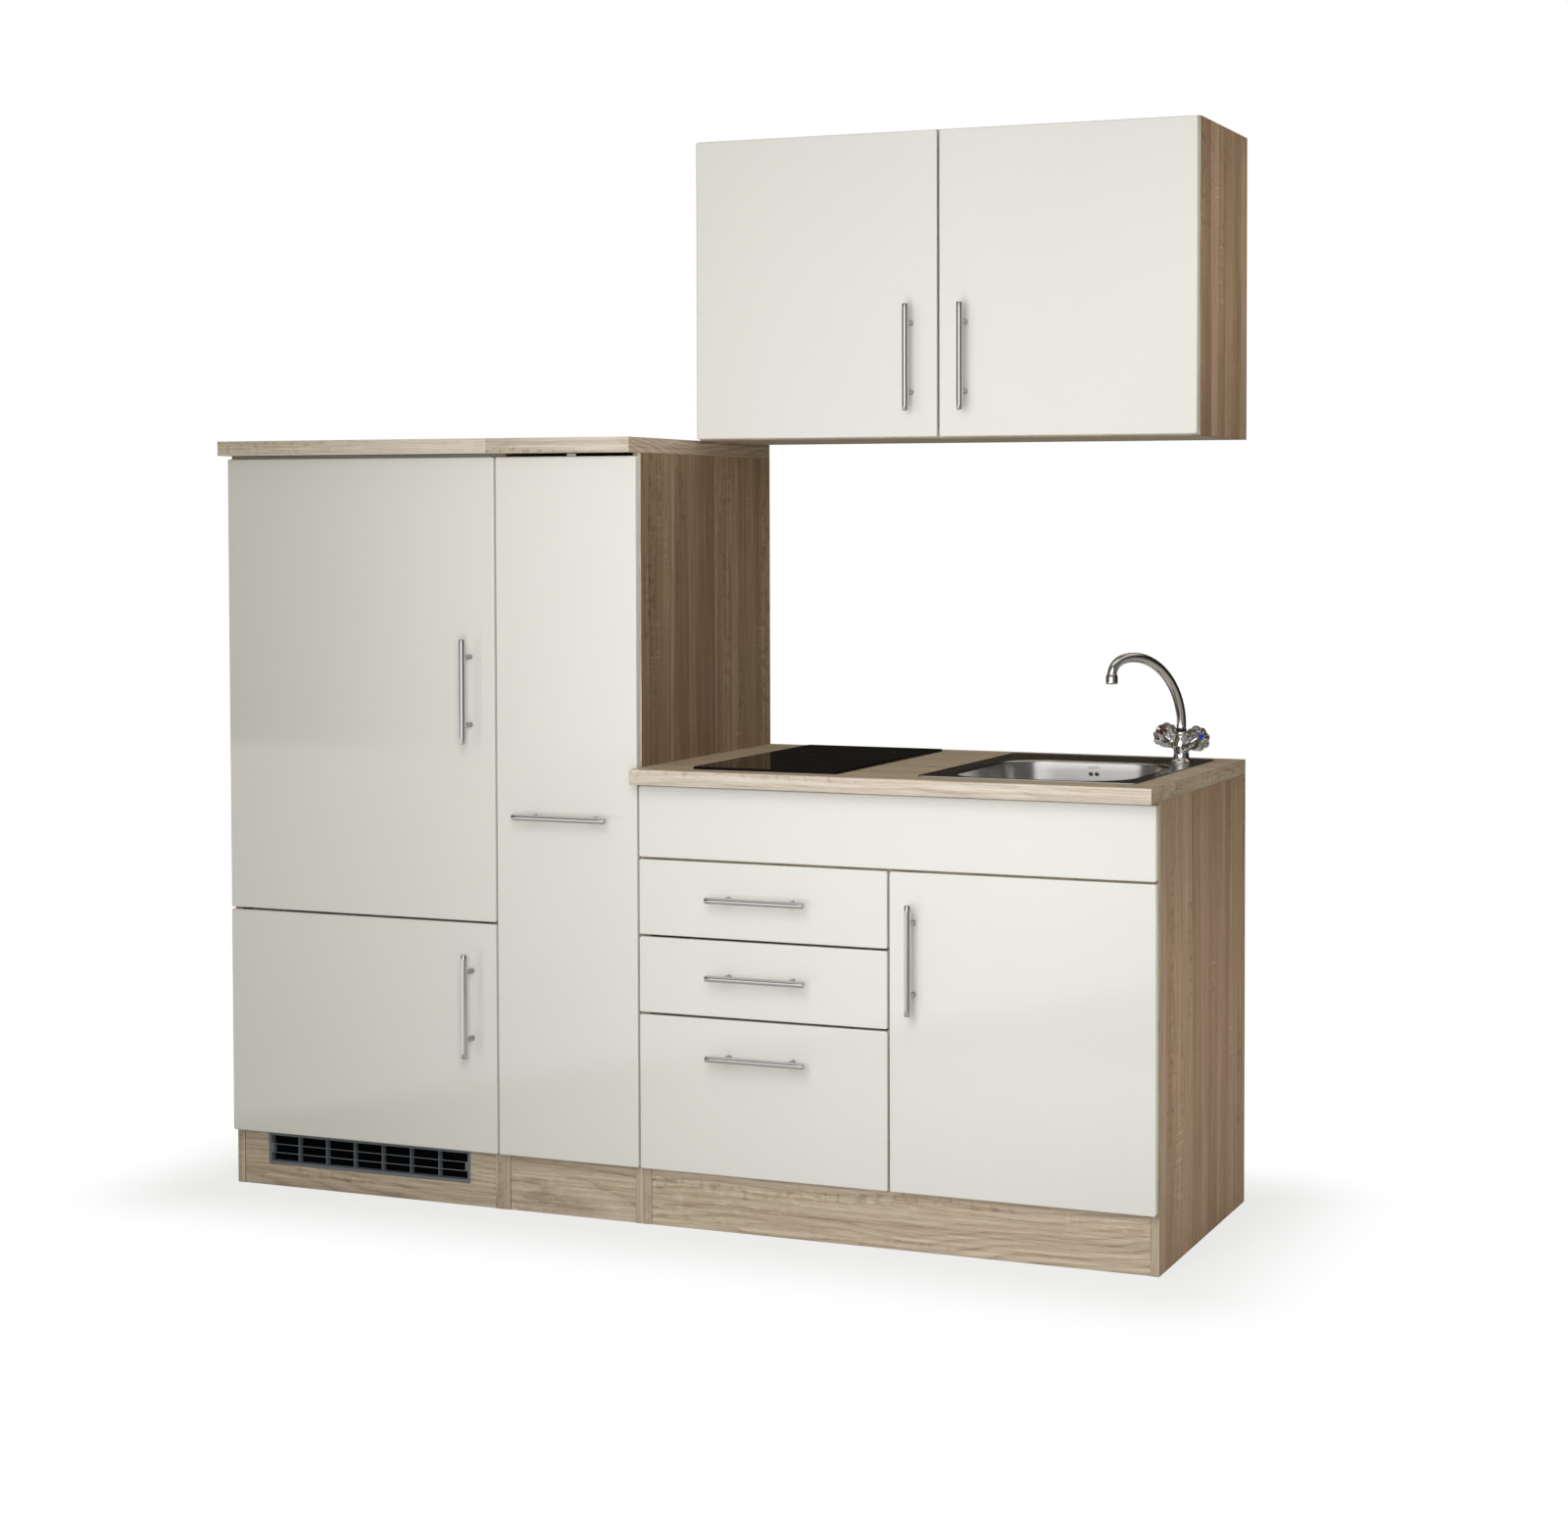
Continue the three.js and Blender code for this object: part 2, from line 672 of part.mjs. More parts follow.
function addLarderCarcass() {
  const floor = block(larderInside, [0, insideBack], [plinthHeight, bottomTop]);
  addPart('larder_bottom', join(floor, ...runnerChannel(runnerBase, 1, runnerY)), oak);
  addPart('larder_plinth', plinthBoard(larderInside), oak);
  addPart('larder_back', block(larderInside, [insideBack, carcassDepth], [plinthHeight, tallSideTop]),
    hardboard);
  const top = block([larderLeft, baseLeft], [-tallTopOverhang, carcassDepth], [tallSideTop, tallHeight]);
  const guideX = [larderMiddle - guideWidth / 2, larderMiddle + guideWidth / 2];
  const guide = block(guideX, [guideFront, runnerY[1]], [rackTop + rackBar, tallSideTop + bite]);
  addPart('larder_top_board', join(top, guide), oak);
}
addLarderCarcass();

// The middle member of the runner: a flange at the foot and one at the head, with a web between.
function addRunnerMember() {
  const half = runnerWidth / 2 - runnerWall - runGap;
  const flangeX = [larderMiddle - half, larderMiddle + half];
  const webX = [larderMiddle - runnerWeb, larderMiddle + runnerWeb];
  const foot = block(flangeX, runnerY, [memberBottom, memberBottom + memberFlange]);
  const head = block(flangeX, runnerY, [memberTop - memberFlange, memberTop]);
  const web = block(webX, runnerY, [memberBottom + bite, memberTop - bite]);
  addPart('larder_slide', join(foot, web, head), zincSteel);
}
addRunnerMember();

// A wire basket: a frame at the foot and one at the rim, corner wires, and floor wires across.
function wireBasket(z) {
  const x = [larderMiddle - basketWidth / 2, larderMiddle + basketWidth / 2];
  const y = [uprightThickness - basketWire / 2, rearUprightFront + basketWire / 2];
  const foot = flatFrame(x, y, [z, z + basketFrame], basketFrame);
  const rim = flatFrame(x, y, [z + basketHeight - basketFrame, z + basketHeight], basketFrame);
  const half = basketWire / 2;
  const nearX = inset(x, basketFrame / 2);
  const nearY = inset(y, basketFrame / 2);
  const wireZ = [z + basketFrame / 2 - half, z + basketFrame / 2 + half];
  const posts = nearX.flatMap((px) => nearY.map((py) => block([px - half, px + half], [py - half, py + half],
    [wireZ[0], z + basketHeight - basketFrame / 2])));
  const pitch = (nearY[1] - nearY[0]) / (basketFloorWires + 1);
  const floor = repeat(basketFloorWires, (index) => {
    const middle = nearY[0] + pitch * (index + 1);
    return block(nearX, [middle - half, middle + half], wireZ);
  });
  return [foot, rim, ...posts, ...floor];
}

function addLarderRack() {
  const half = uprightWidth / 2;
  const x = [larderMiddle - half, larderMiddle + half];
  const beamUnderside = memberTop + runGap;
  const beamZ = [beamUnderside, beamUnderside + runnerWall];
  const beamHalf = runnerWidth / 2;
  const beam = block([larderMiddle - beamHalf, larderMiddle + beamHalf], runnerY, beamZ);
  const grips = runnerChannel(beamUnderside, -1, runnerY);
  const rearFace = rearUprightFront + uprightThickness;
  const frontUpright = block(x, [0, uprightThickness], [memberTop - memberFlange, rackTop]);
  const frontTie = block(x, [0, runnerFront + bite], beamZ);
  const rearUpright = block(x, [rearUprightFront, rearFace], [beamZ[0], rackTop]);
  const topBar = block(x, [0, rearFace], [rackTop - rackBar, rackTop]);
  const forkNear = guideWidth / 2 + runGap;
  const forks = [-1, 1].map((side) => {
    const near = larderMiddle + side * forkNear;
    return block(span(near, near + side * guideForkWall), [rearFace - guideForkLength, rearFace],
      [rackTop - bite, rackTop + guideForkHeight]);
  });
  const baskets = basketLevels.flatMap((z) => wireBasket(z));
  const frame = join(beam, ...grips, frontUpright, frontTie, rearUpright, topBar, ...forks);
  addPart('larder_rack', join(frame, ...baskets), zincSteel);
}
addLarderRack();

const larderFrontX = [larderLeft + frontReveal, baseLeft - frontReveal];
addPart('larder_front', frontPanel(larderFrontX, [frontBottom, tallFrontTop]), gloss);
addPart('larder_handle', barHandle([larderMiddle, larderHandleHeight], [1, 0]), brushedSteel);

// ---- Base unit ----

const baseInside = [baseLeft + board, baseRight - board];
const baseSideTop = baseHeight - worktop;
const columnSplit = baseLeft + drawerColumnWidth;
const partitionX = [columnSplit - board / 2, columnSplit + board / 2];
const drawerInside = [baseInside[0], partitionX[0]];
const drawerX = [drawerInside[0] + drawerSideGap, drawerInside[1] - drawerSideGap];
const drawerFrontX = [baseLeft + frontReveal, columnSplit - frontReveal];
const sinkDoorX = [columnSplit + frontReveal, baseRight - frontReveal];
const sinkDoorZ = [frontBottom, drawerSplits[2] - frontGap / 2];

// Where the hob, the sink, its bowl and its drain are
const hobX = [baseLeft + hobLeft, baseLeft + hobLeft + hobWidth];
const hobY = [hobFront, hobFront + hobLength];
const sinkX = [columnSplit + sinkLeft, baseRight - sinkRight];
const sinkY = [sinkFront, carcassDepth - sinkBack];
const deckTop = baseHeight + sinkRim;
const bowlX = [sinkX[0] + bowlLeft, sinkX[1] - bowlRight];
const bowlY = [sinkY[0] + bowlFront, sinkY[1] - bowlBack];
const bowlFloor = deckTop - bowlDepth;
const drain = [(bowlX[0] + bowlX[1]) / 2, (bowlY[0] + bowlY[1]) / 2];
const trapBottom = bowlFloor - trapDrop;
const trapTop = trapBottom + trapHeight;
const wastePipeZ = (trapTop + trapBottom) / 2;
const overflowHoles = [0, 1].map((index) => drain[0] - overflowLeft + index * overflowPitch);
const tapCentre = [sinkX[1] - tapRight, sinkY[1] - tapBack];

// The heights between which each drawer front stands, from the lowest up.
const drawerFrontZ = drawerSplits.map((split, index) => {
  const low = index === 0 ? frontBottom : drawerSplits[index - 1] + frontGap / 2;
  return [low, split - frontGap / 2];
});

// Rails that carry the drawers' flanges. Side is 1 on a panel at the left of the drawers.
function drawerRails(innerFace, side) {
  const x = span(innerFace - side * bite, innerFace + side * drawerRailWidth);
  return drawerFrontZ.map(([low]) => {
    const top = low + drawerRise - runGap;
    return block(x, [drawerRailFront, drawerRailFront + drawerLength], [top - drawerRailHeight, top]);
  });
}

function addBaseCarcass() {
  const depth = [0, carcassDepth];
  const height = [0, baseSideTop];
  const left = block([baseLeft, baseLeft + board], depth, height);
  addPart('base_side_left', join(left, ...drawerRails(baseInside[0], 1)), oak);
  const right = block([baseRight - board, baseRight], depth, height);
  addPart('base_side_right', join(right, ...hingeArms(baseInside[1], -1, sinkDoorZ)), oak);
  const partition = block(partitionX, [0, insideBack], [bottomTop, baseSideTop]);
  addPart('base_partition', join(partition, ...drawerRails(partitionX[0], -1)), oak);
  addPart('base_bottom', block(baseInside, [0, insideBack], [plinthHeight, bottomTop]), oak);
  addPart('base_plinth', plinthBoard(baseInside), oak);
  const service = block([drain[0] - serviceWidth / 2, drain[0] + serviceWidth / 2],
    [insideBack - bite, carcassDepth + bite], [wastePipeZ - serviceBelow, wastePipeZ + serviceAbove]);
  const back = block(baseInside, [insideBack, carcassDepth], [plinthHeight, baseSideTop]);
  addPart('base_back', cut(back, service), hardboard);
  addPart('base_apron', frontPanel([baseLeft + frontReveal, baseRight - frontReveal],
    [drawerSplits[2] + frontGap / 2, baseSideTop - apronTopGap]), gloss);
}
addBaseCarcass();

function addWorktop() {
  const slab = block([baseLeft, baseRight], [-worktopOverhang, carcassDepth], [baseSideTop, baseHeight]);
  const through = [baseSideTop - bite, baseHeight + bite];
  const hobHole = block(inset(hobX, hobSeat), inset(hobY, hobSeat), through);
  const sinkHole = block(inset(sinkX, sinkSeat), inset(sinkY, sinkSeat), through);
  addPart('worktop', cut(slab, hobHole, sinkHole), oak);
}
addWorktop();

function addDrawer(index) {
  const [z0, z1] = drawerFrontZ[index];
  const number = drawerFrontZ.length - index;
  const bottom = z0 + drawerRise;
  const top = bottom + drawerBoxHeights[index];
  const y = [frontBack, frontBack + drawerLength];
  const outer = block(drawerX, y, [bottom, top]);
  const wellX = inset(drawerX, drawerWall);
  const wellY = inset(y, drawerWall);
  const floorZ = bottom + drawerFloorRise;
  const well = block(wellX, wellY, [floorZ + drawerFloor, top + bite]);
  const under = block(wellX, wellY, [bottom - bite, floorZ]);
  const flangeY = [drawerRailFront, y[1]];
  const flangeX = [
    [drawerX[0] - drawerFlange, drawerX[0] + bite],
    [drawerX[1] - bite, drawerX[1] + drawerFlange],
  ];
  const flanges = flangeX.map((x) => block(x, flangeY, [bottom, bottom + drawerFlangeThickness]));
  addPart(`drawer_${number}_box`, join(cut(outer, well, under), ...flanges), drawerGrey);
  addPart(`drawer_${number}_front`, frontPanel(drawerFrontX, [z0, z1]), gloss);
  const handleZ = z1 - drawerHandleDrops[index];
  const middle = (drawerFrontX[0] + drawerFrontX[1]) / 2;
  addPart(`drawer_${number}_handle`, barHandle([middle, handleZ], [1, 0]), brushedSteel);
}
repeat(drawerFrontZ.length, addDrawer);

function addSinkDoor() {
  const panel = frontPanel(sinkDoorX, sinkDoorZ);
  addPart('sink_door', join(panel, ...doorKnuckles(sinkDoorX[1], -1, sinkDoorZ)), gloss);
  const handleX = sinkDoorX[0] + doorHandleInset;
  addPart('sink_door_handle', barHandle([handleX, sinkHandleHeight], [0, 1]), brushedSteel);
}
addSinkDoor();

// ---- Hob ----

function addHob() {
  const glassZ = [baseHeight, baseHeight + hobGlass];
  addPart('hob_glass', chamferedPlate(hobX, hobY, glassZ, hobCorner, hobChamfer), blackGlass);
  const casingX = inset(hobX, hobSeat + hobCasingGap);
  const casingY = inset(hobY, hobSeat + hobCasingGap);
  addPart('hob_casing', block(casingX, casingY, [baseHeight - hobCasingDepth, baseHeight]), blackSteel);
}
addHob();

// ---- Sink and waste ----

// The bowl as a tapering well. Grow moves its skin outwards, which makes the outside of the sheet.
function bowlWell(grow, top) {
  const ring = (draft, z) => {
    const shrink = draft - grow;
    const radius = bowlCorner - draft * bowlCornerDraft + grow;
    return roundedRing(inset(bowlX, shrink), inset(bowlY, shrink), radius, z, 7);
  };
  const foot = bowlFloor - grow;
  return loft([
    ...bowlHeel.map(([inside, rise]) => ring(bowlDraft + inside, foot + rise)),
    ring(bowlLipInset, deckTop - bowlLipDrop),
    ring(0, deckTop),
    ring(0, top),
  ]);
}

function addSink() {
  const rim = chamferedPlate(sinkX, sinkY, [baseHeight, deckTop], sinkCorner, sinkSheet, 4);
  const outside = cut(bowlWell(sinkSheet, deckTop + bite), block(sinkX, sinkY,
    [deckTop - sinkSheet, deckTop + bite * 2]));
  const bead = alongZ(roundedOutline(
    [sinkX[0] + beadInset, sinkX[0] + beadInset + beadWidth],
    [sinkY[0] + beadFront, sinkY[0] + beadFront + beadLength], beadWidth / 2 - 0.01),
  [deckTop - beadDepth, deckTop + bite]);
  const drainHole = rod([...drain, bowlFloor - sinkSheet - bite], [...drain, bowlFloor + bite],
    drainRadius + runGap, largeSides);
  const tapHole = rod([...tapCentre, baseHeight - bite], [...tapCentre, deckTop + bite], tapHoleRadius);
  const overflow = overflowHoles.map((x) => rod([x, drain[1], deckTop - overflowDrop],
    [x, bowlY[1] + sinkSheet, deckTop - overflowDrop], overflowRadius, smallSides));
  const shell = cut(join(rim, outside), bowlWell(0, deckTop + bite), bead, drainHole, tapHole, ...overflow);
  addPart('sink', shell, stainless);
}
addSink();

function addWaste() {
  const under = bowlFloor - sinkSheet - runGap;
  const column = turned([
    [0, trapBottom],
    [trapRadius - trapFootInset, trapBottom],
    [trapRadius, trapBottom + trapFootRise],
    [trapRadius, trapTop],
    [wastePipeRadius, trapTop],
    [wastePipeRadius, under - clampDepth - clampStep],
    [drainFlange - clampStep, under - clampDepth],
    [drainFlange, under],
    [drainRadius, under],
    [drainRadius, bowlFloor],
    [drainFlange, bowlFloor],
    [drainFlange - drainLip, bowlFloor + drainLip],
    [drainRadius - drainStep, bowlFloor + drainLip],
    [drainRadius - drainStep * 2, bowlFloor - drainDish],
    [0, bowlFloor - drainDish],
  ]);
  const placed = column.translate([drain[0], drain[1], 0]);
  const pipe = rod([...drain, wastePipeZ], [drain[0], carcassDepth, wastePipeZ], wastePipeRadius);
  addPart('sink_waste', join(placed, pipe), whitePlastic);
}
addWaste();

// ---- Mixer tap ----

const turn = THREE.MathUtils.degToRad(tapTurn);
const spoutWay = new THREE.Vector3(Math.cos(turn), Math.sin(turn), 0);
const armWay = new THREE.Vector3(-spoutWay.y, spoutWay.x, 0);
const tapFoot = new THREE.Vector3(tapCentre[0], tapCentre[1], deckTop);

// A point at a reach towards the nozzle and a height over the deck.
function spoutPoint(reach, height) {
  return tapFoot.clone().addScaledVector(spoutWay, reach).setZ(deckTop + height);
}

// The direction of an arm's axis. Side is 1 for the cold arm and -1 for the hot one.
function armDirection(side) {
  const tilt = THREE.MathUtils.degToRad(tapArmTilt);
  return armWay.clone().multiplyScalar(side * Math.cos(tilt)).setZ(Math.sin(tilt));
}

function armPoint(side, distance) {
  const root = tapFoot.clone().setZ(deckTop + tapArmHeight);
  return root.addScaledVector(armDirection(side), distance).toArray();
}

function addTapBody() {
  const [collarRadius] = tapStem.at(-1);
  const socketFloor = tapCollarHeight - spoutFootLength - bite;
  const stem = turned([
    [0, -tapShankLength],
    [tapShankRadius, -tapShankLength],
    [tapShankRadius, -sinkRim - runGap - tapNutHeight],
    [tapNutRadius, -sinkRim - runGap - tapNutHeight],
    [tapNutRadius, -sinkRim - runGap],
    [tapShankRadius, -sinkRim - runGap],
    [tapShankRadius, 0],
    ...tapStem,
    [collarRadius, tapCollarHeight - tapCollarLip],
    [collarRadius - tapCollarLip, tapCollarHeight],
    [spoutFootRadius + runGap, tapCollarHeight],
    [spoutFootRadius + runGap, socketFloor],
    [0, socketFloor],
  ]).translate(tapFoot.toArray());
  const arms = [-1, 1].flatMap((side) => [
    rod(armPoint(side, 0), armPoint(side, tapArmLength), tapArmRadius),
    rod(armPoint(side, tapArmLength - bite), armPoint(side, tapArmLength + spindleLength),
      spindleRadius, smallSides),
  ]);
  addPart('tap_body', join(stem, ...arms), chrome);
}
addTapBody();

// The swan neck rises, bends over its crown and comes down into the aerator.
function addSpout() {
  const foot = tapCollarHeight + runGap;
  const path = new THREE.CurvePath();
  const shoulder = foot + spoutStraight;
  path.add(new THREE.LineCurve3(spoutPoint(0, foot), spoutPoint(0, shoulder)));
  path.add(new THREE.CubicBezierCurve3(
    spoutPoint(0, shoulder),
    spoutPoint(0, foot + spoutRise),
    spoutPoint(spoutCrown - spoutCurl, spoutTop),
    spoutPoint(spoutCrown, spoutTop),
  ));
  path.add(new THREE.CubicBezierCurve3(
    spoutPoint(spoutCrown, spoutTop),
    spoutPoint(spoutCrown + spoutTurn, spoutTop),
    spoutPoint(spoutReach, spoutTop - spoutDrop),
    spoutPoint(spoutReach, aeratorBottom + spoutRadius),
  ));
  const ring = new THREE.Shape().absarc(0, 0, spoutRadius, 0, Math.PI * 2);
  const tube = solidOf(new THREE.ExtrudeGeometry(ring, { steps: spoutSteps, extrudePath: path,
    curveSegments: spoutSides / 2 }));
  const socket = turned([
    [0, foot - spoutFootLength],
    [spoutFootRadius, foot - spoutFootLength],
    [spoutFootRadius, foot],
    [spoutSocketRadius, foot],
    [spoutSocketRadius, foot + spoutSocketHeight],
    [spoutRadius, foot + spoutSocketHeight + spoutSocketNeck],
    [0, foot + spoutSocketHeight + spoutSocketNeck],
  ]).translate(tapFoot.toArray());
  const nozzle = spoutPoint(spoutReach, 0);
  const aerator = turned([
    [0, aeratorBottom + aeratorRecess],
    [aeratorRadius - aeratorWall, aeratorBottom + aeratorRecess],
    [aeratorRadius - aeratorWall, aeratorBottom],
    [aeratorRadius, aeratorBottom],
    [aeratorRadius, aeratorTop - aeratorEdge],
    [aeratorRadius - aeratorEdge, aeratorTop],
    [0, aeratorTop],
  ], middleSides).translate(nozzle.toArray());
  addPart('tap_spout', join(tube, socket, aerator), chrome);
}
addSpout();

// A fluted handwheel round its own Z axis, with a socket for the spindle at its foot.
function addKnob(name, side) {
  const start = tapArmLength + runGap;
  const rings = knobProfile.map(([radius, z, depth]) => repeat(knobFlutes * knobFluteSteps, (step) => {
    const angle = step / (knobFlutes * knobFluteSteps) * Math.PI * 2;
    const wave = 1 + knobFluteDepth * depth * Math.cos(angle * knobFlutes);
    return new THREE.Vector3(radius * wave * Math.cos(angle), radius * wave * Math.sin(angle), z);
  }));
  const socket = rod([0, 0, -bite], [0, 0, spindleLength + runGap], spindleRadius + runGap, smallSides);
  const mesh = addPart(name, cut(loft(rings), socket), acrylic);
  mesh.position.set(...armPoint(side, start));
  mesh.quaternion.setFromUnitVectors(new THREE.Vector3(0, 0, 1), armDirection(side));
}
addKnob('tap_knob_cold', 1);
addKnob('tap_knob_hot', -1);

// ---- Wall cupboard ----

const wallFront = carcassDepth - wallUnitDepth;
const wallBottom = tallHeight;
const wallTop = wallBottom + wallUnitHeight;
const wallDoorZ = [wallBottom + frontReveal, wallTop - frontReveal];
const wallMiddle = (baseLeft + baseRight) / 2;

function addWallCarcass() {
  const depth = [wallFront, carcassDepth];
  const height = [wallBottom, wallTop];
  const shelfZ = wallBottom + shelfRise;
  const pegY = [wallFront + shelfSetback + shelfPegInset, insideBack - shelfPegInset];
  const pegs = (face, side) => pegY.map((y) => {
    const x = span(face - side * bite, face + side * shelfPegLength);
    return block(x, [y - shelfPegHeight, y + shelfPegHeight], [shelfZ - shelfPegHeight, shelfZ]);
  });
  const left = block([baseLeft, baseLeft + board], depth, height);
  const right = block([baseRight - board, baseRight], depth, height);
  addPart('wall_side_left', join(left, ...hingeArms(baseInside[0], 1, wallDoorZ, wallFront),
    ...pegs(baseInside[0], 1)), oak);
  addPart('wall_side_right', join(right, ...hingeArms(baseInside[1], -1, wallDoorZ, wallFront),
    ...pegs(baseInside[1], -1)), oak);
  addPart('wall_bottom', block(baseInside, [wallFront, insideBack], [wallBottom, wallBottom + board]), oak);
  addPart('wall_top', block(baseInside, [wallFront, insideBack], [wallTop - board, wallTop]), oak);
  addPart('wall_back', block(baseInside, [insideBack, carcassDepth], height), hardboard);
  addPart('wall_shelf', block(inset(baseInside, shelfGap), [wallFront + shelfSetback, insideBack - shelfGap],
    [shelfZ, shelfZ + board]), oak);
}
addWallCarcass();

function addWallDoor(name, [x0, x1], hingeSide) {
  const back = wallFront - frontRest;
  const edge = hingeSide === 1 ? x0 : x1;
  const handleX = hingeSide === 1 ? x1 - handleInset : x0 + handleInset;
  const panel = frontPanel([x0, x1], wallDoorZ, back);
  addPart(`wall_door_${name}`, join(panel, ...doorKnuckles(edge, hingeSide, wallDoorZ, back)), gloss);
  const bar = barHandle([handleX, wallBottom + wallHandleRise], [0, 1], back - frontBoard);
  addPart(`wall_handle_${name}`, bar, brushedSteel);
}
addWallDoor('left', [baseLeft + frontReveal, wallMiddle - frontReveal], 1);
addWallDoor('right', [wallMiddle + frontReveal, baseRight - frontReveal], -1);

// The origin is on the floor, under the middle of the whole object.
const extent = new THREE.Box3().setFromObject(group);
const middle = extent.getCenter(new THREE.Vector3());
group.position.set(-middle.x, -middle.y, -extent.min.z);

export default group;
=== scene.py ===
import math

import bmesh
import bpy
import numpy as np
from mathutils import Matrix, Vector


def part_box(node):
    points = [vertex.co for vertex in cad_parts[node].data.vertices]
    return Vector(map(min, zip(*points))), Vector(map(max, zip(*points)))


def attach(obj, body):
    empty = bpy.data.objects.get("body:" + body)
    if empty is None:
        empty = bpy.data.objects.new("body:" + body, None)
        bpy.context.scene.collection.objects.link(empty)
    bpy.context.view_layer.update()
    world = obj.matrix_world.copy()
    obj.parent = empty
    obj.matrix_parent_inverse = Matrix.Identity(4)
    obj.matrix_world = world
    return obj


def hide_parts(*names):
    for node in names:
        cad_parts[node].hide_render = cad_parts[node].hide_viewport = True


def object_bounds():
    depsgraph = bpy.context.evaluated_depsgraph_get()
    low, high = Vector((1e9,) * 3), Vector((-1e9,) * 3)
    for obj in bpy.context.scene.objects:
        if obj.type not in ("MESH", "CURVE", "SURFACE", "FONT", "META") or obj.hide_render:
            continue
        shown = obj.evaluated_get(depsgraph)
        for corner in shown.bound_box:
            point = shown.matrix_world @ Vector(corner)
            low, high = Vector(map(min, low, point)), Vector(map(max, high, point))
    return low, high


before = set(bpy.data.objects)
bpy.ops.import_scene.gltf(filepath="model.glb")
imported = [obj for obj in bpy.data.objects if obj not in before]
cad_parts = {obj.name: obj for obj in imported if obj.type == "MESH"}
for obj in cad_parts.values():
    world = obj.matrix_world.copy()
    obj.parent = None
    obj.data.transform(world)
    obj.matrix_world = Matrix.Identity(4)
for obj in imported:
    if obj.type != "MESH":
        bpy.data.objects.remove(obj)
cadBox = [list(corner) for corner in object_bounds()]

# Sizes are millimetres: x from the unit's left end, y from the carcass fronts to the wall, z from the
# floor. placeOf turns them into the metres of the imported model.
unitOrigin = np.array([950.0, 249.5, 0.0])
upwards, toRoom, toWall = (0, 0, 1), (0, -1, 0), (0, 1, 0)


def placeOf(points):
    # point in metres = (point in millimetres - origin) / 1000
    return (np.asarray(points, dtype=float) - unitOrigin) / 1000.0


def boxOf(node):
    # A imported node's low and high corners, in millimetres.
    return [np.array(corner) * 1000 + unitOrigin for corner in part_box(node)]


def addToScene(name, data):
    # A new object of that data, linked to the scene.
    thing = bpy.data.objects.new(name, data)
    bpy.context.scene.collection.objects.link(thing)
    return thing


# Camera

cameraView = {
    "place": (3254.75, -4383.68, 1307.78), "yaw": 0.3596, "pitch": 0.0331, "sensor": 36.0, "farthest": 60.0,
    # In pixels of the picture: its size, the focal length and where the optical axis meets it.
    "picture": (1600, 1559), "focal": 2732.8, "centre": (1020.5, 620.0),
}


def addCamera(place, yaw, pitch, sensor, farthest, picture, focal, centre):
    # lens = focal / width * sensor; each shift = the optical axis's distance from the middle / width.
    data = bpy.data.cameras.new("photoCamera")
    camera = addToScene("photoCamera", data)
    camera.location = placeOf(place)
    camera.rotation_euler = (math.pi / 2 - pitch, 0.0, yaw)
    data.sensor_width = sensor
    data.lens = focal / picture[0] * sensor
    data.shift_x = (picture[0] / 2 - centre[0]) / picture[0]
    data.shift_y = (centre[1] - picture[1] / 2) / picture[0]
    data.clip_end = farthest
    bpy.context.scene.camera = camera


addCamera(**cameraView)
print("camera placed")


# Surfaces worked out on grids

def inset(span, by):
    # A range that ends that much further in on both sides.
    return span[0] + by, span[1] - by


def lift(outline, axis, depth):
    # An outline on two axes, in order, placed at a depth on the third.
    return np.insert(np.asarray(outline, dtype=float), axis, depth, axis=1)


def stepsOf(points, axis):
    # The distance from each point to the next, from the last one round to the first.
    return np.linalg.norm(np.roll(points, -1, axis=0) - points, axis=axis)


def gridShell(points, looped=False, slot=0):
    # A skin over rows of points. Each row is a ring, and the rows join in a loop or end in flat caps.
    # The pattern follows the skin: first coordinate along the rows, second one round them, in metres.
    points = np.asarray(points, dtype=float)
    rows, cols = points.shape[:2]
    r, c = np.indices((rows if looped else rows - 1, cols)).reshape(2, -1)
    r2, c2 = (r + 1) % rows, (c + 1) % cols
    faces = np.stack([r * cols + c, r * cols + c2, r2 * cols + c2, r2 * cols + c], axis=1).tolist()
    u = np.insert(np.cumsum(stepsOf(points, 2).max(axis=1)), 0, 0) / 1000
    v = np.insert(np.cumsum(stepsOf(points[rows // 2], 1)), 0, 0) / 1000
    pattern = np.stack([u[r], v[c], u[r], v[c + 1], u[r + 1], v[c + 1], u[r + 1], v[c]], axis=1)
    corners = list(pattern.reshape(-1, 4, 2))
    for line in () if looped else (0, rows - 1):
        faces.append(list(range(line * cols, (line + 1) * cols)))
        flat = points[line] - points[line].mean(axis=0)
        corners.append(np.stack([flat[:, 0], flat[:, 1] + flat[:, 2]], axis=1) / 1000)
    return {"points": points.reshape(-1, 3), "faces": faces, "corners": corners, "slot": slot}


def roundedOutline(a, b, radius, cornerSteps=5, sideSteps=1):
    # A rectangle with quarter circles at its corners, counter-clockwise, as [points, 2].
    quarter = np.linspace(0, math.pi / 2, cornerSteps + 1)
    arcs = []
    for turn, (i, j) in enumerate(((1, 0), (1, 1), (0, 1), (0, 0))):
        angle = quarter + (turn - 1) * math.pi / 2
        arcs.append(np.stack([a[i] + radius * (1 - 2 * i + np.cos(angle)),
                              b[j] + radius * (1 - 2 * j + np.sin(angle))], axis=1))
    share = np.arange(1, sideSteps)[:, None] / sideSteps
    sides = [arc[-1] + (arcs[(turn + 1) % 4][0] - arc[-1]) * share for turn, arc in enumerate(arcs)]
    return np.concatenate([part for pair in zip(arcs, sides) for part in pair])


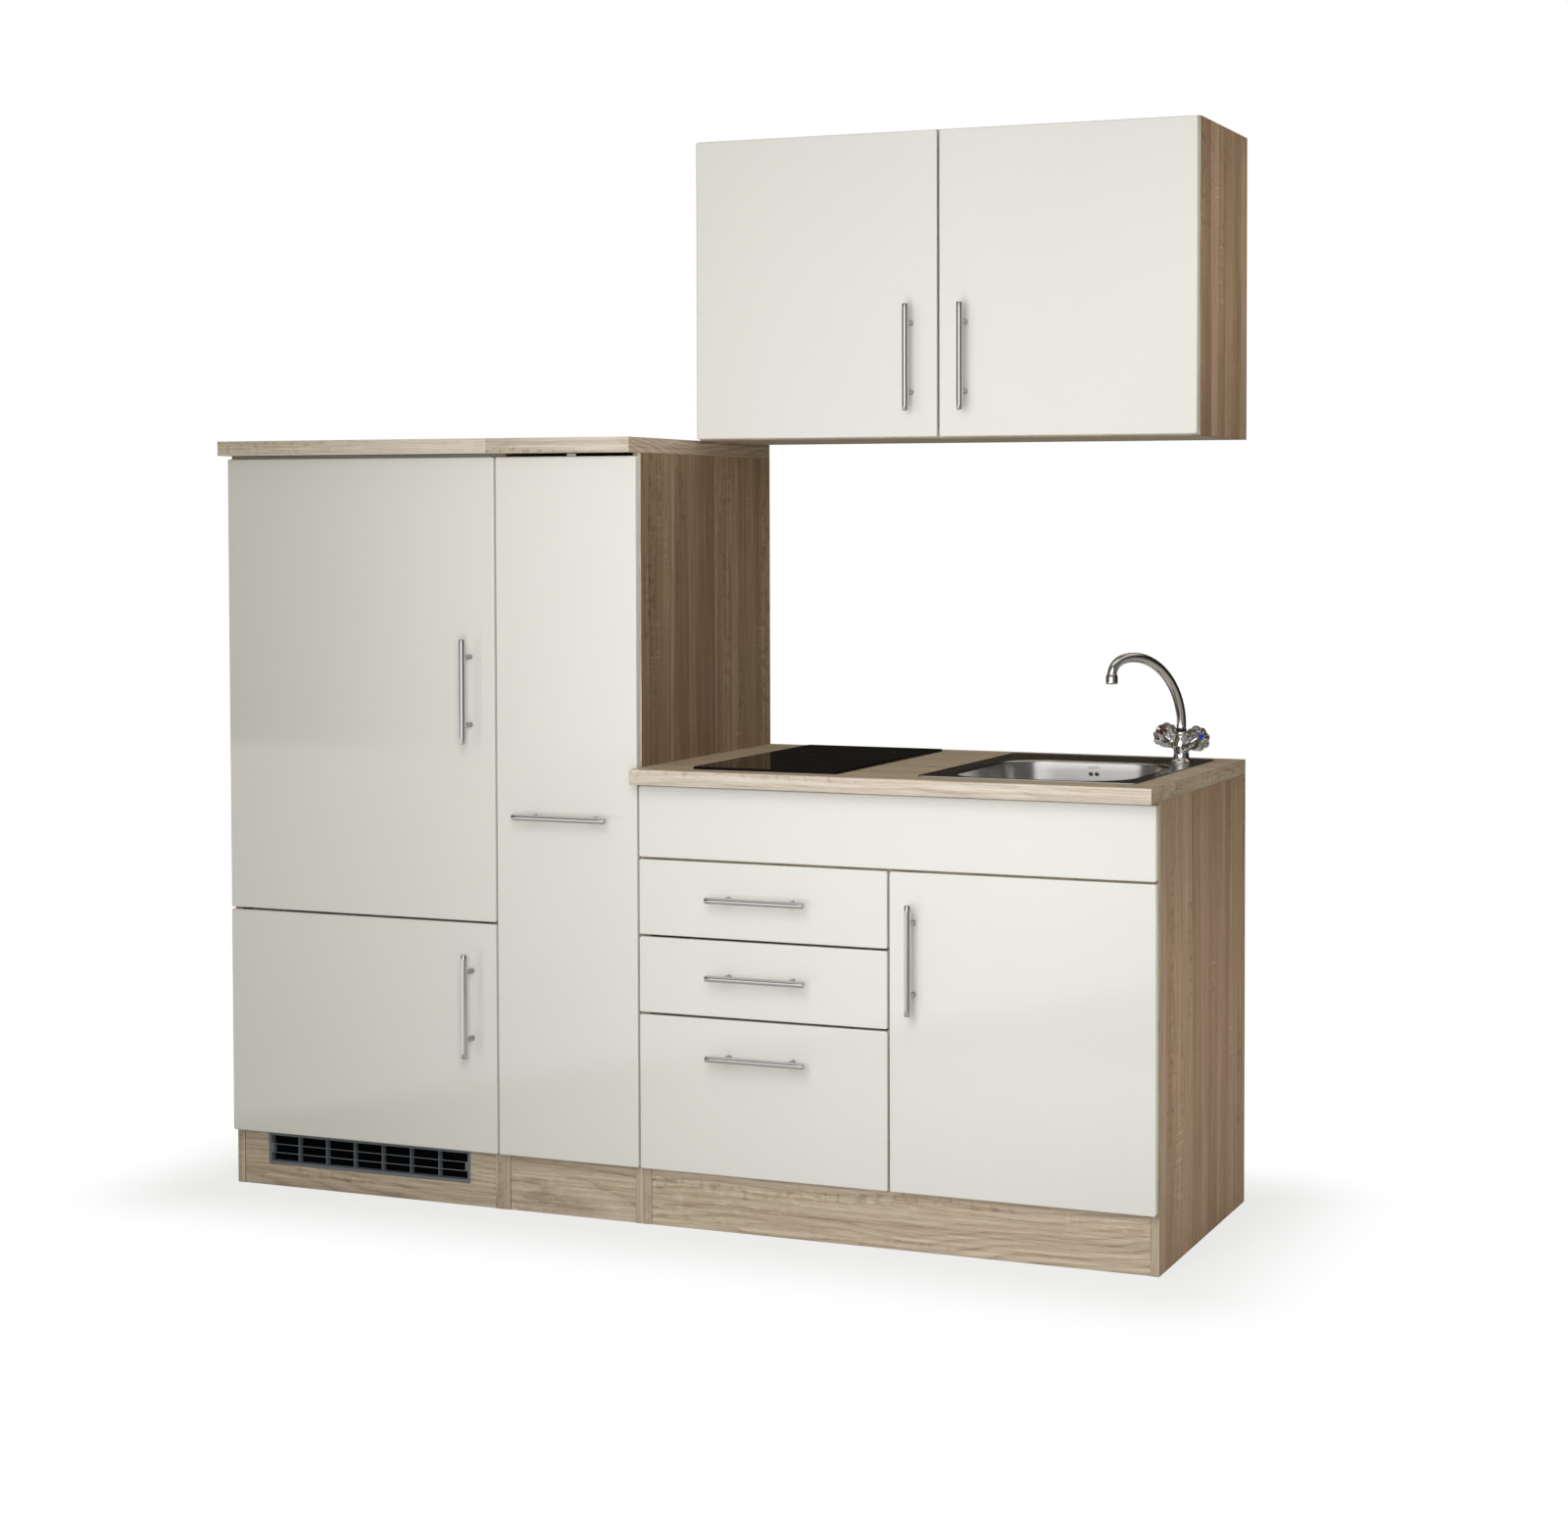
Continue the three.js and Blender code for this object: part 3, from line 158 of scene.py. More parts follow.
def slabShell(axis, a, b, t, corner=1.0, edge=0.5, hold=0.3, slot=0, cornerSteps=4, edgeSteps=3, edgeBack=None):
    # A board: a rounded rectangle carried along its thickness, its rim shrunk by edge * (1 - cos)
    # while it moves by edge * (1 - sin), which rounds both of its edges. Axis 0, 1 or 2 is the
    # thickness; a and b are its ranges on the other two axes in order, and t on this one.
    turn = np.linspace(0, math.pi / 2, edgeSteps + 1)
    back = edge if edgeBack is None else edgeBack
    low = [(edge * (1 - math.sin(x)), t[0] + edge * (1 - math.cos(x))) for x in turn]
    high = [(back * (1 - math.cos(x)), t[1] - back * (1 - math.sin(x))) for x in turn]
    rings = [lift(roundedOutline(inset(a, by), inset(b, by), max(corner - by, 0.05), cornerSteps), axis, depth)
             for by, depth in [(edge + hold, t[0]), *low, *high, (back + hold, t[1])]]
    return gridShell(rings, slot=slot)


def boxShell(low, high, round=0.5, slot=0, steps=2):
    # A block with all its edges rounded, lying the way its thinnest side shows.
    size = [high[i] - low[i] for i in range(3)]
    axis = int(np.argmin(size))
    a, b = [(low[i], high[i]) for i in range(3) if i != axis]
    round = min(round, min(size) * 0.3)
    return slabShell(axis, a, b, (low[axis], high[axis]), round * 1.6, round, round * 0.4, slot, steps, steps)


def prismShell(outline, axis, t, slot=0):
    # An outline on the two other axes, in order, carried straight along one axis.
    return gridShell([lift(outline, axis, depth) for depth in t], slot=slot)


def frameShell(x, z, wall, y, round=0.5):
    # A rectangular frame: a small rounded profile carried round four corners.
    shoulder = y[0] + math.copysign(round, y[1] - y[0])
    rings = []
    for share, depth in ((0, y[1]), (0, shoulder), (round / wall, y[0]), (1 - round / wall, y[0]),
                         (1, shoulder), (1, y[1])):
        a, b = inset(x, wall * share), inset(z, wall * share)
        rings.append([[a[0], depth, b[0]], [a[1], depth, b[0]], [a[1], depth, b[1]], [a[0], depth, b[1]]])
    return gridShell(rings, looped=True)


def tubShell(x, y, z, wall, corner, floor=2.5, draft=0.0):
    # An open tub: rounded rectangles that climb the outside, turn over the rim and go down inside.
    soft = min(corner * 0.5, 6.0)
    steps = [(soft + draft, z[0]), (soft * 0.3 + draft, z[0] + soft * 0.3), (draft, z[0] + soft), (0, z[1] - 1),
             (0.3, z[1] - 0.2), (wall / 2, z[1]), (wall - 0.3, z[1] - 0.2), (wall, z[1] - 1),
             (wall + draft, z[0] + soft + floor), (wall + draft + soft * 0.3, z[0] + soft * 0.3 + floor),
             (wall + draft + soft, z[0] + floor)]
    return gridShell([lift(roundedOutline(inset(x, by), inset(y, by), max(corner - by, 1.5), 6), 2, height)
                      for by, height in steps])


def frameOf(direction):
    # A unit vector along a direction, and two square to it.
    direction = np.asarray(direction, dtype=float) / np.linalg.norm(direction)
    side = np.cross(direction, upwards if abs(direction[2]) < 0.9 else (1, 0, 0))
    side /= np.linalg.norm(side)
    return direction, side, np.cross(direction, side)


def latheShell(profile, base, direction=upwards, sides=32, slot=0, flutes=None):
    # A turned form: point = base + direction * height + radius * (cos, sin) of the angle. Flutes
    # multiply the radius by 1 + depth * cos(count * angle).
    profile = np.asarray(profile, dtype=float)
    way, side, other = frameOf(direction)
    angle = np.arange(sides) / sides * 2 * math.pi
    radius = np.maximum(profile[:, 0], 0.02)[:, None] * np.ones(sides)
    if flutes:
        count, depth = flutes
        radius = radius * (1 + np.asarray(depth)[:, None] * np.cos(count * angle)[None, :])
    return gridShell(np.asarray(base) + way * profile[:, 1][:, None, None]
                     + radius[:, :, None] * (np.cos(angle)[:, None] * side + np.sin(angle)[:, None] * other),
                     slot=slot)


def pinShell(radius, ends, base, direction=upwards, sides=20, slot=0):
    # A plain round pin between two heights along a direction.
    profile = [(0, ends[0]), (radius, ends[0]), (radius, ends[1]), (0, ends[1])]
    return latheShell(profile, base, direction, sides, slot)


def tubeShell(path, radius, sides=16, looped=False):
    # A circle carried along a path. Its frame is turned as little as possible from point to point.
    path = np.asarray(path, dtype=float)
    way = (np.roll(path, -1, axis=0) - np.roll(path, 1, axis=0)) if looped else np.gradient(path, axis=0)
    way = way / np.linalg.norm(way, axis=1)[:, None]
    side = np.zeros_like(path)
    side[0] = frameOf(way[0])[1]
    for i in range(1, len(path)):
        kept = side[i - 1] - way[i] * side[i - 1].dot(way[i])
        side[i] = kept / np.linalg.norm(kept)
    angle = (np.arange(sides) / sides * 2 * math.pi)[None, :, None]
    ring = np.cos(angle) * side[:, None, :] + np.sin(angle) * np.cross(way, side)[:, None, :]
    return gridShell(path[:, None, :] + ring * radius, looped)


def cellShell(aCuts, bCuts, t, holes, axis):
    # A board with square openings: a sheet of cells between cut lines, with the open ones left out.
    grid = np.stack(np.meshgrid(aCuts, bCuts, indexing="ij"), axis=2).reshape(-1, 2)
    at = np.arange(2 * len(grid)).reshape(2, len(aCuts), len(bCuts)).tolist()
    solid = np.pad(np.ones((len(aCuts) - 1, len(bCuts) - 1), bool), 1)
    for hole in holes:
        solid[1:-1, 1:-1][hole] = False
    faces = []
    for i, j in np.argwhere(solid[1:-1, 1:-1]):
        ring = [(i, j), (i + 1, j), (i + 1, j + 1), (i, j + 1)]
        faces += [[at[0][p][q] for p, q in ring[::-1]], [at[1][p][q] for p, q in ring]]
        for side, (di, dj) in enumerate(((0, -1), (1, 0), (0, 1), (-1, 0))):
            if not solid[i + 1 + di, j + 1 + dj]:
                (p, q), (p2, q2) = ring[side], ring[(side + 1) % 4]
                faces.append([at[0][p][q], at[0][p2][q2], at[1][p2][q2], at[1][p][q]])
    points = np.concatenate([lift(grid, axis, depth) for depth in t])
    return {"points": points, "faces": faces, "corners": [np.zeros((4, 2))] * len(faces), "slot": 0}


def readAll(items, key, width=1, kind=np.float32):
    # One row of values from each item of a mesh collection.
    values = np.zeros(len(items) * width, kind)
    items.foreach_get(key, values)
    return values.reshape(-1, width) if width > 1 else values


def layOutGrain(mesh, along, shift):
    # On each face the grain runs along one axis, and the pattern's second coordinate is the other
    # axis that lies in the face. End faces take the two axes that are left.
    place = readAll(mesh.vertices, "co", 3)[readAll(mesh.loops, "vertex_index", 1, np.int32)]
    facing = np.abs(readAll(mesh.polygons, "normal", 3)).argmax(axis=1)
    facing = np.repeat(facing, readAll(mesh.polygons, "loop_total", 1, np.int32))
    ended = facing == along
    first = np.where(ended, (along + 1) % 3, along)
    second = np.where(ended, (along + 2) % 3, 3 - along - facing)
    rows = np.arange(len(place))
    uv = np.stack([place[rows, first] + shift[0], place[rows, second] + shift[1] + 0.37 * facing], axis=1)
    mesh.uv_layers["along"].data.foreach_set("uv", uv.astype(np.float32).ravel())


def addPiece(name, shells, looks, body="carcass", stands=None, smooth=True, grain=None, merge=False,
             bevel=0.0):
    # Joins shells into one object. Normals are turned outwards, and doubles go first where asked.
    shells = shells if isinstance(shells, list) else [shells]
    points, faces, slots, corners = [], [], [], []
    for shell in shells:
        faces += [[v + len(points) for v in face] for face in shell["faces"]]
        points += placeOf(shell["points"]).tolist()
        slots += [shell["slot"]] * len(shell["faces"])
        corners += shell["corners"]
    mesh = bpy.data.meshes.new(name)
    mesh.from_pydata(points, [], faces)
    uv = np.concatenate(corners).astype(np.float32).ravel()
    mesh.uv_layers.new(name="along").data.foreach_set("uv", uv)
    for look in looks.split():
        mesh.materials.append(materials[look])
    mesh.polygons.foreach_set("material_index", np.array(slots, dtype=np.int32))
    work = bmesh.new()
    work.from_mesh(mesh)
    if merge:
        bmesh.ops.remove_doubles(work, verts=work.verts, dist=1e-6)
    bmesh.ops.recalc_face_normals(work, faces=work.faces)
    work.to_mesh(mesh)
    work.free()
    mesh.polygons.foreach_set("use_smooth", np.full(len(mesh.polygons), smooth))
    piece = addToScene(name, mesh)
    if grain:
        layOutGrain(mesh, *grain)
    if bevel:
        rounding = piece.modifiers.new("rounding", "BEVEL")
        rounding.width = bevel / 1000
        rounding.segments = 2
        rounding.limit_method = "ANGLE"
    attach(piece, body)
    if stands:
        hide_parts(stands)
    return piece


def dressNode(node, look):
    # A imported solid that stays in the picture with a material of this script.
    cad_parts[node].data.materials.clear()
    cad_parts[node].data.materials.append(materials[look])


# Shader nodes

class Wire:
    # A value in a node tree that takes plain signs: each sign adds one math node.
    def __init__(self, nodes, socket):
        self.nodes, self.socket = nodes, socket

    def math(self, operation, *others):
        return self.nodes.add("ShaderNodeMath", dict(enumerate((self, *others))), operation=operation)

    def __add__(self, other):
        return self.math("ADD", other)

    def __sub__(self, other):
        return self.math("SUBTRACT", other)

    def __mul__(self, other):
        return self.math("MULTIPLY", other)

    def __truediv__(self, other):
        return self.math("DIVIDE", other)

    def between(self, low, high):
        # 0 below the low value and 1 above the high one, with a smooth step from one to the other.
        return self.nodes.add("ShaderNodeMapRange", {"Value": self, "From Min": low, "From Max": high},
                              interpolation_type="SMOOTHSTEP")

    def towards(self, goal, share):
        # value + share * (goal - value)
        return (self * -1.0 + goal) * share + self


class Nodes:
    # A node tree with its main shader, and short ways to add to it.
    def __init__(self, tree, shader):
        self.tree, self.shader = tree, tree.nodes[shader]

    def put(self, socket, value):
        if isinstance(value, Wire):
            self.tree.links.new(value.socket, socket)
        else:
            socket.default_value = (*value, 1.0) if socket.type == "RGBA" else value

    def set(self, **values):
        for key, value in values.items():
            self.put(self.shader.inputs[key.replace("_", " ")], value)

    def add(self, kind, inputs=None, out=0, **settings):
        # Gives the wire of one output, or a list of wires where out is a tuple.
        node = self.tree.nodes.new(kind)
        for key, value in settings.items():
            setattr(node, key, value)
        for key, value in (inputs or {}).items():
            self.put(node.inputs[key], value)
        if isinstance(out, tuple):
            return [Wire(self, node.outputs[key]) for key in out]
        return Wire(self, node.outputs[out])

    def place(self, source="Object"):
        if source == "Object":
            return self.add("ShaderNodeTexCoord", out="Object")
        return self.add("ShaderNodeUVMap", uv_map=source)

    def noise(self, place, scale, detail=2.0, rough=0.5, shift=(0, 0, 0)):
        scale = scale if isinstance(scale, tuple) else (scale,) * 3
        moved = self.add("ShaderNodeMapping", {"Vector": place, "Scale": scale, "Location": shift})
        return self.add("ShaderNodeTexNoise",
                        {"Vector": moved, "Scale": 1.0, "Detail": detail, "Roughness": rough})

    def ramp(self, value, stops):
        # Each stop is a place and a colour, or a place and a grey.
        node = self.tree.nodes.new("ShaderNodeValToRGB")
        self.put(node.inputs[0], value)
        while len(node.color_ramp.elements) < len(stops):
            node.color_ramp.elements.new(0.5)
        for element, (place, colour) in zip(node.color_ramp.elements, stops):
            element.position = place
            element.color = (*colour, 1.0) if isinstance(colour, tuple) else (colour, colour, colour, 1.0)
        return Wire(self, node.outputs[0])

    def mix(self, share, first, second):
        return self.add("ShaderNodeMix", {0: share, 6: first, 7: second}, out=2, data_type="RGBA")

    def vector(self, operation, *values, out=0):
        return self.add("ShaderNodeVectorMath", dict(enumerate(values)), out, operation=operation)

    def bump(self, height, strength, distance):
        self.set(Normal=self.add("ShaderNodeBump", {"Height": height, "Strength": strength, "Distance": distance}))


# Materials

materials = {}


def newMaterial(name, **values):
    material = materials[name] = bpy.data.materials.new(name)
    material.use_nodes = True
    nodes = Nodes(material.node_tree, "Principled BSDF")
    nodes.set(**values)
    return nodes


oakColours = {
    "worktop": {"pale": (0.70, 0.60, 0.475), "middle": (0.50, 0.405, 0.295), "dark": (0.25, 0.185, 0.12),
                "red": (0.40, 0.25, 0.185), "grey": (0.42, 0.385, 0.335)},
    # band: the edging strips' oak; their fine grain is the print, their paler tone painted light on faces turned to
    # the lamps.
    "litBand": {"pale": (0.70, 0.625, 0.535), "middle": (0.49, 0.415, 0.325), "dark": (0.23, 0.18, 0.13),
             "red": (0.40, 0.26, 0.21), "grey": (0.42, 0.39, 0.35)},
    # side: the upright boards' oak, darker and redder than the worktop's; painted shade for faces that get less
    # light.
    "side": {"pale": (0.62, 0.46, 0.315), "middle": (0.375, 0.257, 0.165), "dark": (0.14, 0.085, 0.05),
             "red": (0.29, 0.16, 0.115), "grey": (0.335, 0.275, 0.22)},
    # deep: the side oak darkened further, painted shade for the larder's right side under the wall cupboard.
    "deep": {"pale": (0.54, 0.40, 0.265), "middle": (0.31, 0.212, 0.128), "dark": (0.11, 0.068, 0.036),
             "red": (0.235, 0.14, 0.09), "grey": (0.27, 0.22, 0.165)},
}
oakCuts = {
    # plank: board width of the print, depth: of the cut, slope: of the arches, pitch: of the rings, bend:
    # by noise, figure and staves: their contrast, tone: of the whole, red: share of red staves
    "flat": {"plank": 0.21, "depth": 0.055, "slope": 0.045, "pitch": 0.013, "bend": 0.018, "figure": 0.42,
             "staves": 0.10, "tone": 0.575, "red": 0.10},
    # The upright cut's lower tone and larger share of red staves paint shade on the upright boards; its straight
    # figure is the print.
    "upright": {"plank": 0.12, "depth": 0.075, "slope": 0.012, "pitch": 0.009, "bend": 0.006, "figure": 0.12,
                "staves": 0.24, "tone": 0.50, "red": 0.80},
    # The edge cut's high tone is painted light on the strips towards the room; its fine, straight figure is the
    # print.
    "edge": {"plank": 0.21, "depth": 0.09, "slope": 0.02, "pitch": 0.005, "bend": 0.004, "figure": 0.26,
             "staves": 0.05, "tone": 0.745, "red": 0.05},
    "end": {"plank": 0.05, "depth": 0.03, "slope": 0.08, "pitch": 0.007, "bend": 0.016, "figure": 0.45,
            "staves": 0.05, "tone": 0.46, "red": 0.30},
}
oakKinds = {"oakFlat": ("worktop", "flat"), "shadedUprightOak": ("side", "upright"), "deepShadeOak": ("deep", "upright"),
            "oakEdge": ("litBand", "edge"), "oakEnd": ("worktop", "end")}


def makeOak(name, colours, cut):
    # Growth rings met by a flat saw cut: ring = sqrt(across^2 + depth^2) + slope * along. They draw
    # straight lines at a board's sides and nested arches in its middle, and noise bends them. The
    # print is made up of staves, each with its own tone.
    look = newMaterial(name)
    uv = look.place("along")
    along, across = look.add("ShaderNodeSeparateXYZ", {0: uv}, (0, 1))

    def noise(u, v, detail=2, rough=0.5, shift=(0, 0)):
        return look.noise(uv, (u, v, 1), detail, rough, (*shift, 0))

    def chance(value, out):
        # One random value for each whole number.
        return look.add("ShaderNodeTexWhiteNoise", {"W": value.math("FLOOR")}, out, noise_dimensions="1D")

    folded = (across + (noise(1.3, 5) - 0.5) * (8 * cut["bend"])).math("PINGPONG", cut["plank"])
    deep = noise(1.1, 1.5, 1, shift=(3, 5)) * 0.11 + (cut["depth"] - 0.055)
    rings = (folded * folded + deep * deep).math("SQRT") + along * cut["slope"]
    count = (rings + (noise(7, 26, 4, 0.6) - 0.5) * cut["bend"]) / cut["pitch"]
    line = look.ramp(count.math("FRACT"), [(0.0, 0.05), (0.16, 0.50), (0.55, 1.0), (0.90, 0.72), (1.0, 0.05)])
    line = (line - 0.66) * (chance(count, 0) * 0.9 + 0.35)
    stave, redness = chance(noise(0.5, 9, shift=(3, 3)) * 1.6 + across * 24.0, (0, 1))
    redness = look.add("ShaderNodeSeparateColor", {0: redness}, 1)

    fibre = noise(9, 520, 3, 0.65)
    streak = noise(1.6, 130, 3, 0.6, (1, 2))
    drift = noise(0.35, 17, shift=(7, 1))
    pore = noise(42, 1250, 1, shift=(2, 9)).between(0.58, 0.70)
    saw = noise(3.2, 9, shift=(4, 4)).between(0.56, 0.68) * noise(190, 7, 3, 0.6, (8, 3)).between(0.50, 0.62)
    flake = noise(1.1, 14, 1, shift=(6, 2)).between(0.60, 0.68) * noise(34, 75, shift=(1, 7)).between(0.54, 0.64)
    fleck = (noise(1.3, 19, 1, shift=(2, 6)).between(0.60, 0.66)
             * noise(60, 45, 3, 0.6, (5, 1)).between(0.52, 0.60))
    value = ((fibre + streak - 1.0) * 1.05 + (drift - 0.5) * 0.45 + (stave - 0.5) * cut["staves"]
             + line * cut["figure"] + (saw - pore) * 0.22 + flake * 0.16 - fleck * 0.20 + cut["tone"])

    pale = colours["pale"]
    colour = look.ramp(value, [(0.0, colours["dark"]), (0.48, colours["middle"]), (0.88, pale),
                               (1.0, tuple(1.06 * c for c in pale))])
    warm = redness.between(0.35, 0.75) * noise(0.4, 42, 3, 0.6, (5, 8)).between(0.36, 0.58)
    colour = look.mix(warm * cut["red"], colour, colours["red"])
    cool = noise(0.5, 60, 2, 0.6, (9, 4)).between(0.54, 0.70)
    colour = look.mix(cool * 0.40, colour, colours["grey"])
    look.set(Base_Color=colour, Roughness=fibre * 0.2 + 0.43)
    look.bump(fibre * 0.5 + saw * 0.7 - pore, 0.35, 0.0004)


for oakName, (oakColour, oakCut) in oakKinds.items():
    makeOak(oakName, oakColours[oakColour], oakCuts[oakCut])

surfaceKinds = {
    # kind: scale of the colour's drift (none: the fine noise), its darkest share of the colour, the fine
    # noise's scale, detail and roughness, how far it moves the gloss, depth of the bump in metres
    "lacquer": (2.4, 0.985, (70, 2, 0.4), 0.0, 0.0004),
    "plastic": (9, 0.94, (900, 2, 0.6), 0.12, 0.0002),
    "brushed": (None, 0.90, (700, 3, 0.65), 0.10, 0.0001),
    "polished": (None, 0.909, ((90, 90, 260), 4, 0.6), 0.05, 0.0),
    "clear": (None, 0.96, (60, 2, 0.5), 0.04, 0.0),
}
surfaces = {
    # material: kind, colour, roughness, bump strength, what else differs
    "frontLacquer": ("lacquer", (0.80, 0.797, 0.755), 0.06, 0.05, {"Coat_Weight": 0.6, "Coat_Roughness": 0.02}),
    "frontBackFoil": ("lacquer", (0.82, 0.82, 0.80), 0.42, 0.10, {}),
    "enamel": ("lacquer", (0.84, 0.845, 0.84), 0.28, 0.04, {}),
    "hardboardFoil": ("lacquer", (0.78, 0.765, 0.72), 0.55, 0.2, {}),
    "barSteel": ("brushed", (0.68, 0.675, 0.665), 0.20, 0.12, {"scale": (30, 2600, 1), "source": "along"}),
    "postSteel": ("brushed", (0.46, 0.45, 0.43), 0.34, 0.12, {"scale": (30, 2600, 1), "source": "along"}),
    "sinkSteel": ("brushed", (0.74, 0.725, 0.70), 0.24, 0.06, {"scale": (60, 1900, 900)}),
    "zincPlate": ("brushed", (0.66, 0.67, 0.68), 0.30, 0.05, {"scale": (160, 240, 1), "source": "along"}),
    "wireChrome": ("brushed", (0.80, 0.80, 0.80), 0.14, 0.02, {"scale": (40, 300, 1), "source": "along"}),
    "nickelSteel": ("brushed", (0.62, 0.61, 0.59), 0.30, 0.03, {}),
    "chromePlate": ("polished", (0.88, 0.88, 0.885), 0.035, 0.0, {}),
    "grillePlastic": ("plastic", (0.155, 0.178, 0.205), 0.42, 0.06, {}),
    # Dark plastic, and black discs and strips that paint the shade inside holes: strainer, overflow, hob vents, hinge
    # cups, aerator.
    "darkPlastic": ("plastic", (0.018, 0.018, 0.02), 0.5, 0.06, {}),
    # Black that only paints the shade behind the plinth grille; its low IOR keeps it from reflecting.
    "shadowSheetBlack": ("plastic", (0.0034, 0.0034, 0.0034), 0.9, 0.3, {"scale": 300, "IOR": 1.12}),
    "palePlastic": ("plastic", (0.74, 0.745, 0.74), 0.4, 0.06, {}),
    "trimPlastic": ("plastic", (0.55, 0.56, 0.57), 0.38, 0.06, {}),
    "gasketRubber": ("plastic", (0.62, 0.63, 0.63), 0.62, 0.1, {"scale": 500}),
    "blackRubber": ("plastic", (0.02, 0.02, 0.02), 0.6, 0.1, {"scale": 500}),
    "drawerFoil": ("plastic", (0.50, 0.515, 0.515), 0.5, 0.05, {"scale": 700}),
    "casingSteel": ("plastic", (0.03, 0.03, 0.032), 0.38, 0.05, {"scale": 700}),
    "runnerEnamel": ("plastic", (0.70, 0.70, 0.68), 0.35, 0.04, {"scale": 700}),
    "blueDot": ("plastic", (0.012, 0.05, 0.62), 0.3, 0.06, {}),
    "redDot": ("plastic", (0.62, 0.012, 0.012), 0.3, 0.06, {}),
    "clearAcrylic": ("clear", (0.27, 0.26, 0.24), 0.04, 0.0, {"Transmission_Weight": 1.0, "IOR": 1.49}),
    "shelfGlass": ("clear", (0.86, 0.93, 0.90), 0.03, 0.0, {"Transmission_Weight": 0.92}),
    "binPlastic": ("clear", (0.90, 0.94, 0.96), 0.12, 0.0, {"Transmission_Weight": 0.75, "IOR": 1.45}),
    "frostedPlastic": ("clear", (0.86, 0.90, 0.93), 0.30, 0.0, {"Transmission_Weight": 0.6, "IOR": 1.45}),
}


def makeSurface(name, kind, colour, rough, bump, scale=None, source="Object", **values):
    # The colour drifts with one noise, and a fine one moves the gloss: roughness + gloss * (noise - 0.5).
    # Brushed metal is rubbed in one direction, and a wider smear of the same noise moves its gloss too.
    drift, dark, (fineScale, detail, fineRough), gloss, depth = surfaceKinds[kind]
    look = newMaterial(name, **{"IOR": 1.5, "Roughness": rough, **values})
    place, scale = look.place(source), scale or fineScale
    fine = look.noise(place, scale, detail, fineRough)
    tone = look.noise(place, drift) if drift else fine
    look.set(Base_Color=look.ramp(tone, [(0.3, tuple(dark * c for c in colour)), (0.7, colour)]))
    shine = fine * gloss + (rough - gloss / 2)
    if kind == "brushed":
        scale = scale if isinstance(scale, tuple) else (scale,) * 3
        look.set(Metallic=1.0)
        shine = shine + (look.noise(place, tuple(0.02 * s for s in scale)) - 0.5) * gloss
    if kind == "polished":
        look.set(Metallic=1.0)
    if gloss:
        look.set(Roughness=shine)
    if bump:
        look.bump(fine, bump, depth)


for surfaceName, (*surfaceForm, surfaceValues) in surfaces.items():
    makeSurface(surfaceName, *surfaceForm, **surfaceValues)

hobPrint = {"zones": [((1151, 122), 72.5), ((1151, 372), 90)], "line": 0.0011, "glass": (0.004, 0.004, 0.005),
            "ink": (0.10, 0.10, 0.105)}


def makeHobGlass(zones, line, glass, ink):
    # Black glass with a thin printed ring round each zone: the ring is where the distance to the
    # zone's centre differs from its radius by less than half a line.
    look = newMaterial("hobGlassBlack", IOR=1.2, Specular_IOR_Level=0.4)
    place = look.place()
    x, y = look.add("ShaderNodeSeparateXYZ", {0: place}, (0, 1))
    rings = []
    for centre, radius in zones:
        cx, cy, _ = placeOf((*centre, 0)).tolist()
        far = ((x - cx) * (x - cx) + (y - cy) * (y - cy)).math("SQRT")
        rings.append((far - radius / 1000).math("ABSOLUTE").math("LESS_THAN", line / 2))
    printed = rings[0].math("MAXIMUM", rings[1])
    dust = look.noise(place, 40, 3, 0.6)
    look.set(Base_Color=look.mix(printed, glass, ink), Roughness=printed * 0.25 + dust * 0.04)


makeHobGlass(**hobPrint)
print("materials made")


# Boards

oakBoards = {
    # node: grain axis, material, pattern shift
    # The upright boards take the darker oak, painted shade for faces that get less light.
    "fridge_side_left": (2, "shadedUprightOak", (0.3, 0.2)),
    "fridge_side_right": (2, "shadedUprightOak", (1.7, 0.6)),
    "fridge_bottom": (0, "oakFlat", (0.2, 0.9)),
    "fridge_top_board": (0, "oakFlat", (4.4, 1.3)),
    "larder_side_left": (2, "shadedUprightOak", (2.9, 1.9)),
    # Painted shade: this side takes the darkest oak for the shade under the wall cupboard.
    "larder_side_right": (2, "deepShadeOak", (6.1, 0.12)),
    "larder_plinth": (0, "oakFlat", (3.65, 2.53)),
    "larder_top_board": (0, "oakFlat", (7.2, 0.7)),
    "larder_bottom": (0, "oakFlat", (1.2, 0.4)),
    "base_side_left": (2, "shadedUprightOak", (8.3, 2.2)),
    "base_side_right": (2, "shadedUprightOak", (3.2, 3.31)),
    "base_partition": (2, "shadedUprightOak", (4.2, 1.1)),
    "base_bottom": (0, "oakFlat", (5.3, 1.6)),
    "base_plinth": (0, "oakFlat", (0.55, 0.31)),
    "wall_side_left": (2, "shadedUprightOak", (9.9, 1.4)),
    "wall_side_right": (2, "shadedUprightOak", (2.15, 2.62)),
    "wall_bottom": (0, "oakFlat", (6.6, 3.4)),
    "wall_top": (0, "oakFlat", (1.9, 2.2)),
    "wall_shelf": (0, "oakFlat", (2.5, 0.2)),
}
boardAlone = {
    # Where a fitting is one solid with the board: the axis and range of the board without it.
    "larder_top_board": (2, 1430, 1458), "larder_bottom": (2, 106, 122), "base_side_left": (0, 900, 916),
    "base_partition": (0, 1392, 1408), "base_side_right": (0, 1884, 1900), "wall_side_left": (0, 900, 916),
    "wall_side_right": (0, 1884, 1900),
}
railForm = {"y": (0.3, 16), "z": (671, 790), "grain": (1.1, 0.35), "board": 16}
plinthCut = {"x": (16, 76, 524, 584), "y": (2, 18), "z": (0, 47, 101, 106), "grain": (2.05, 1.77)}
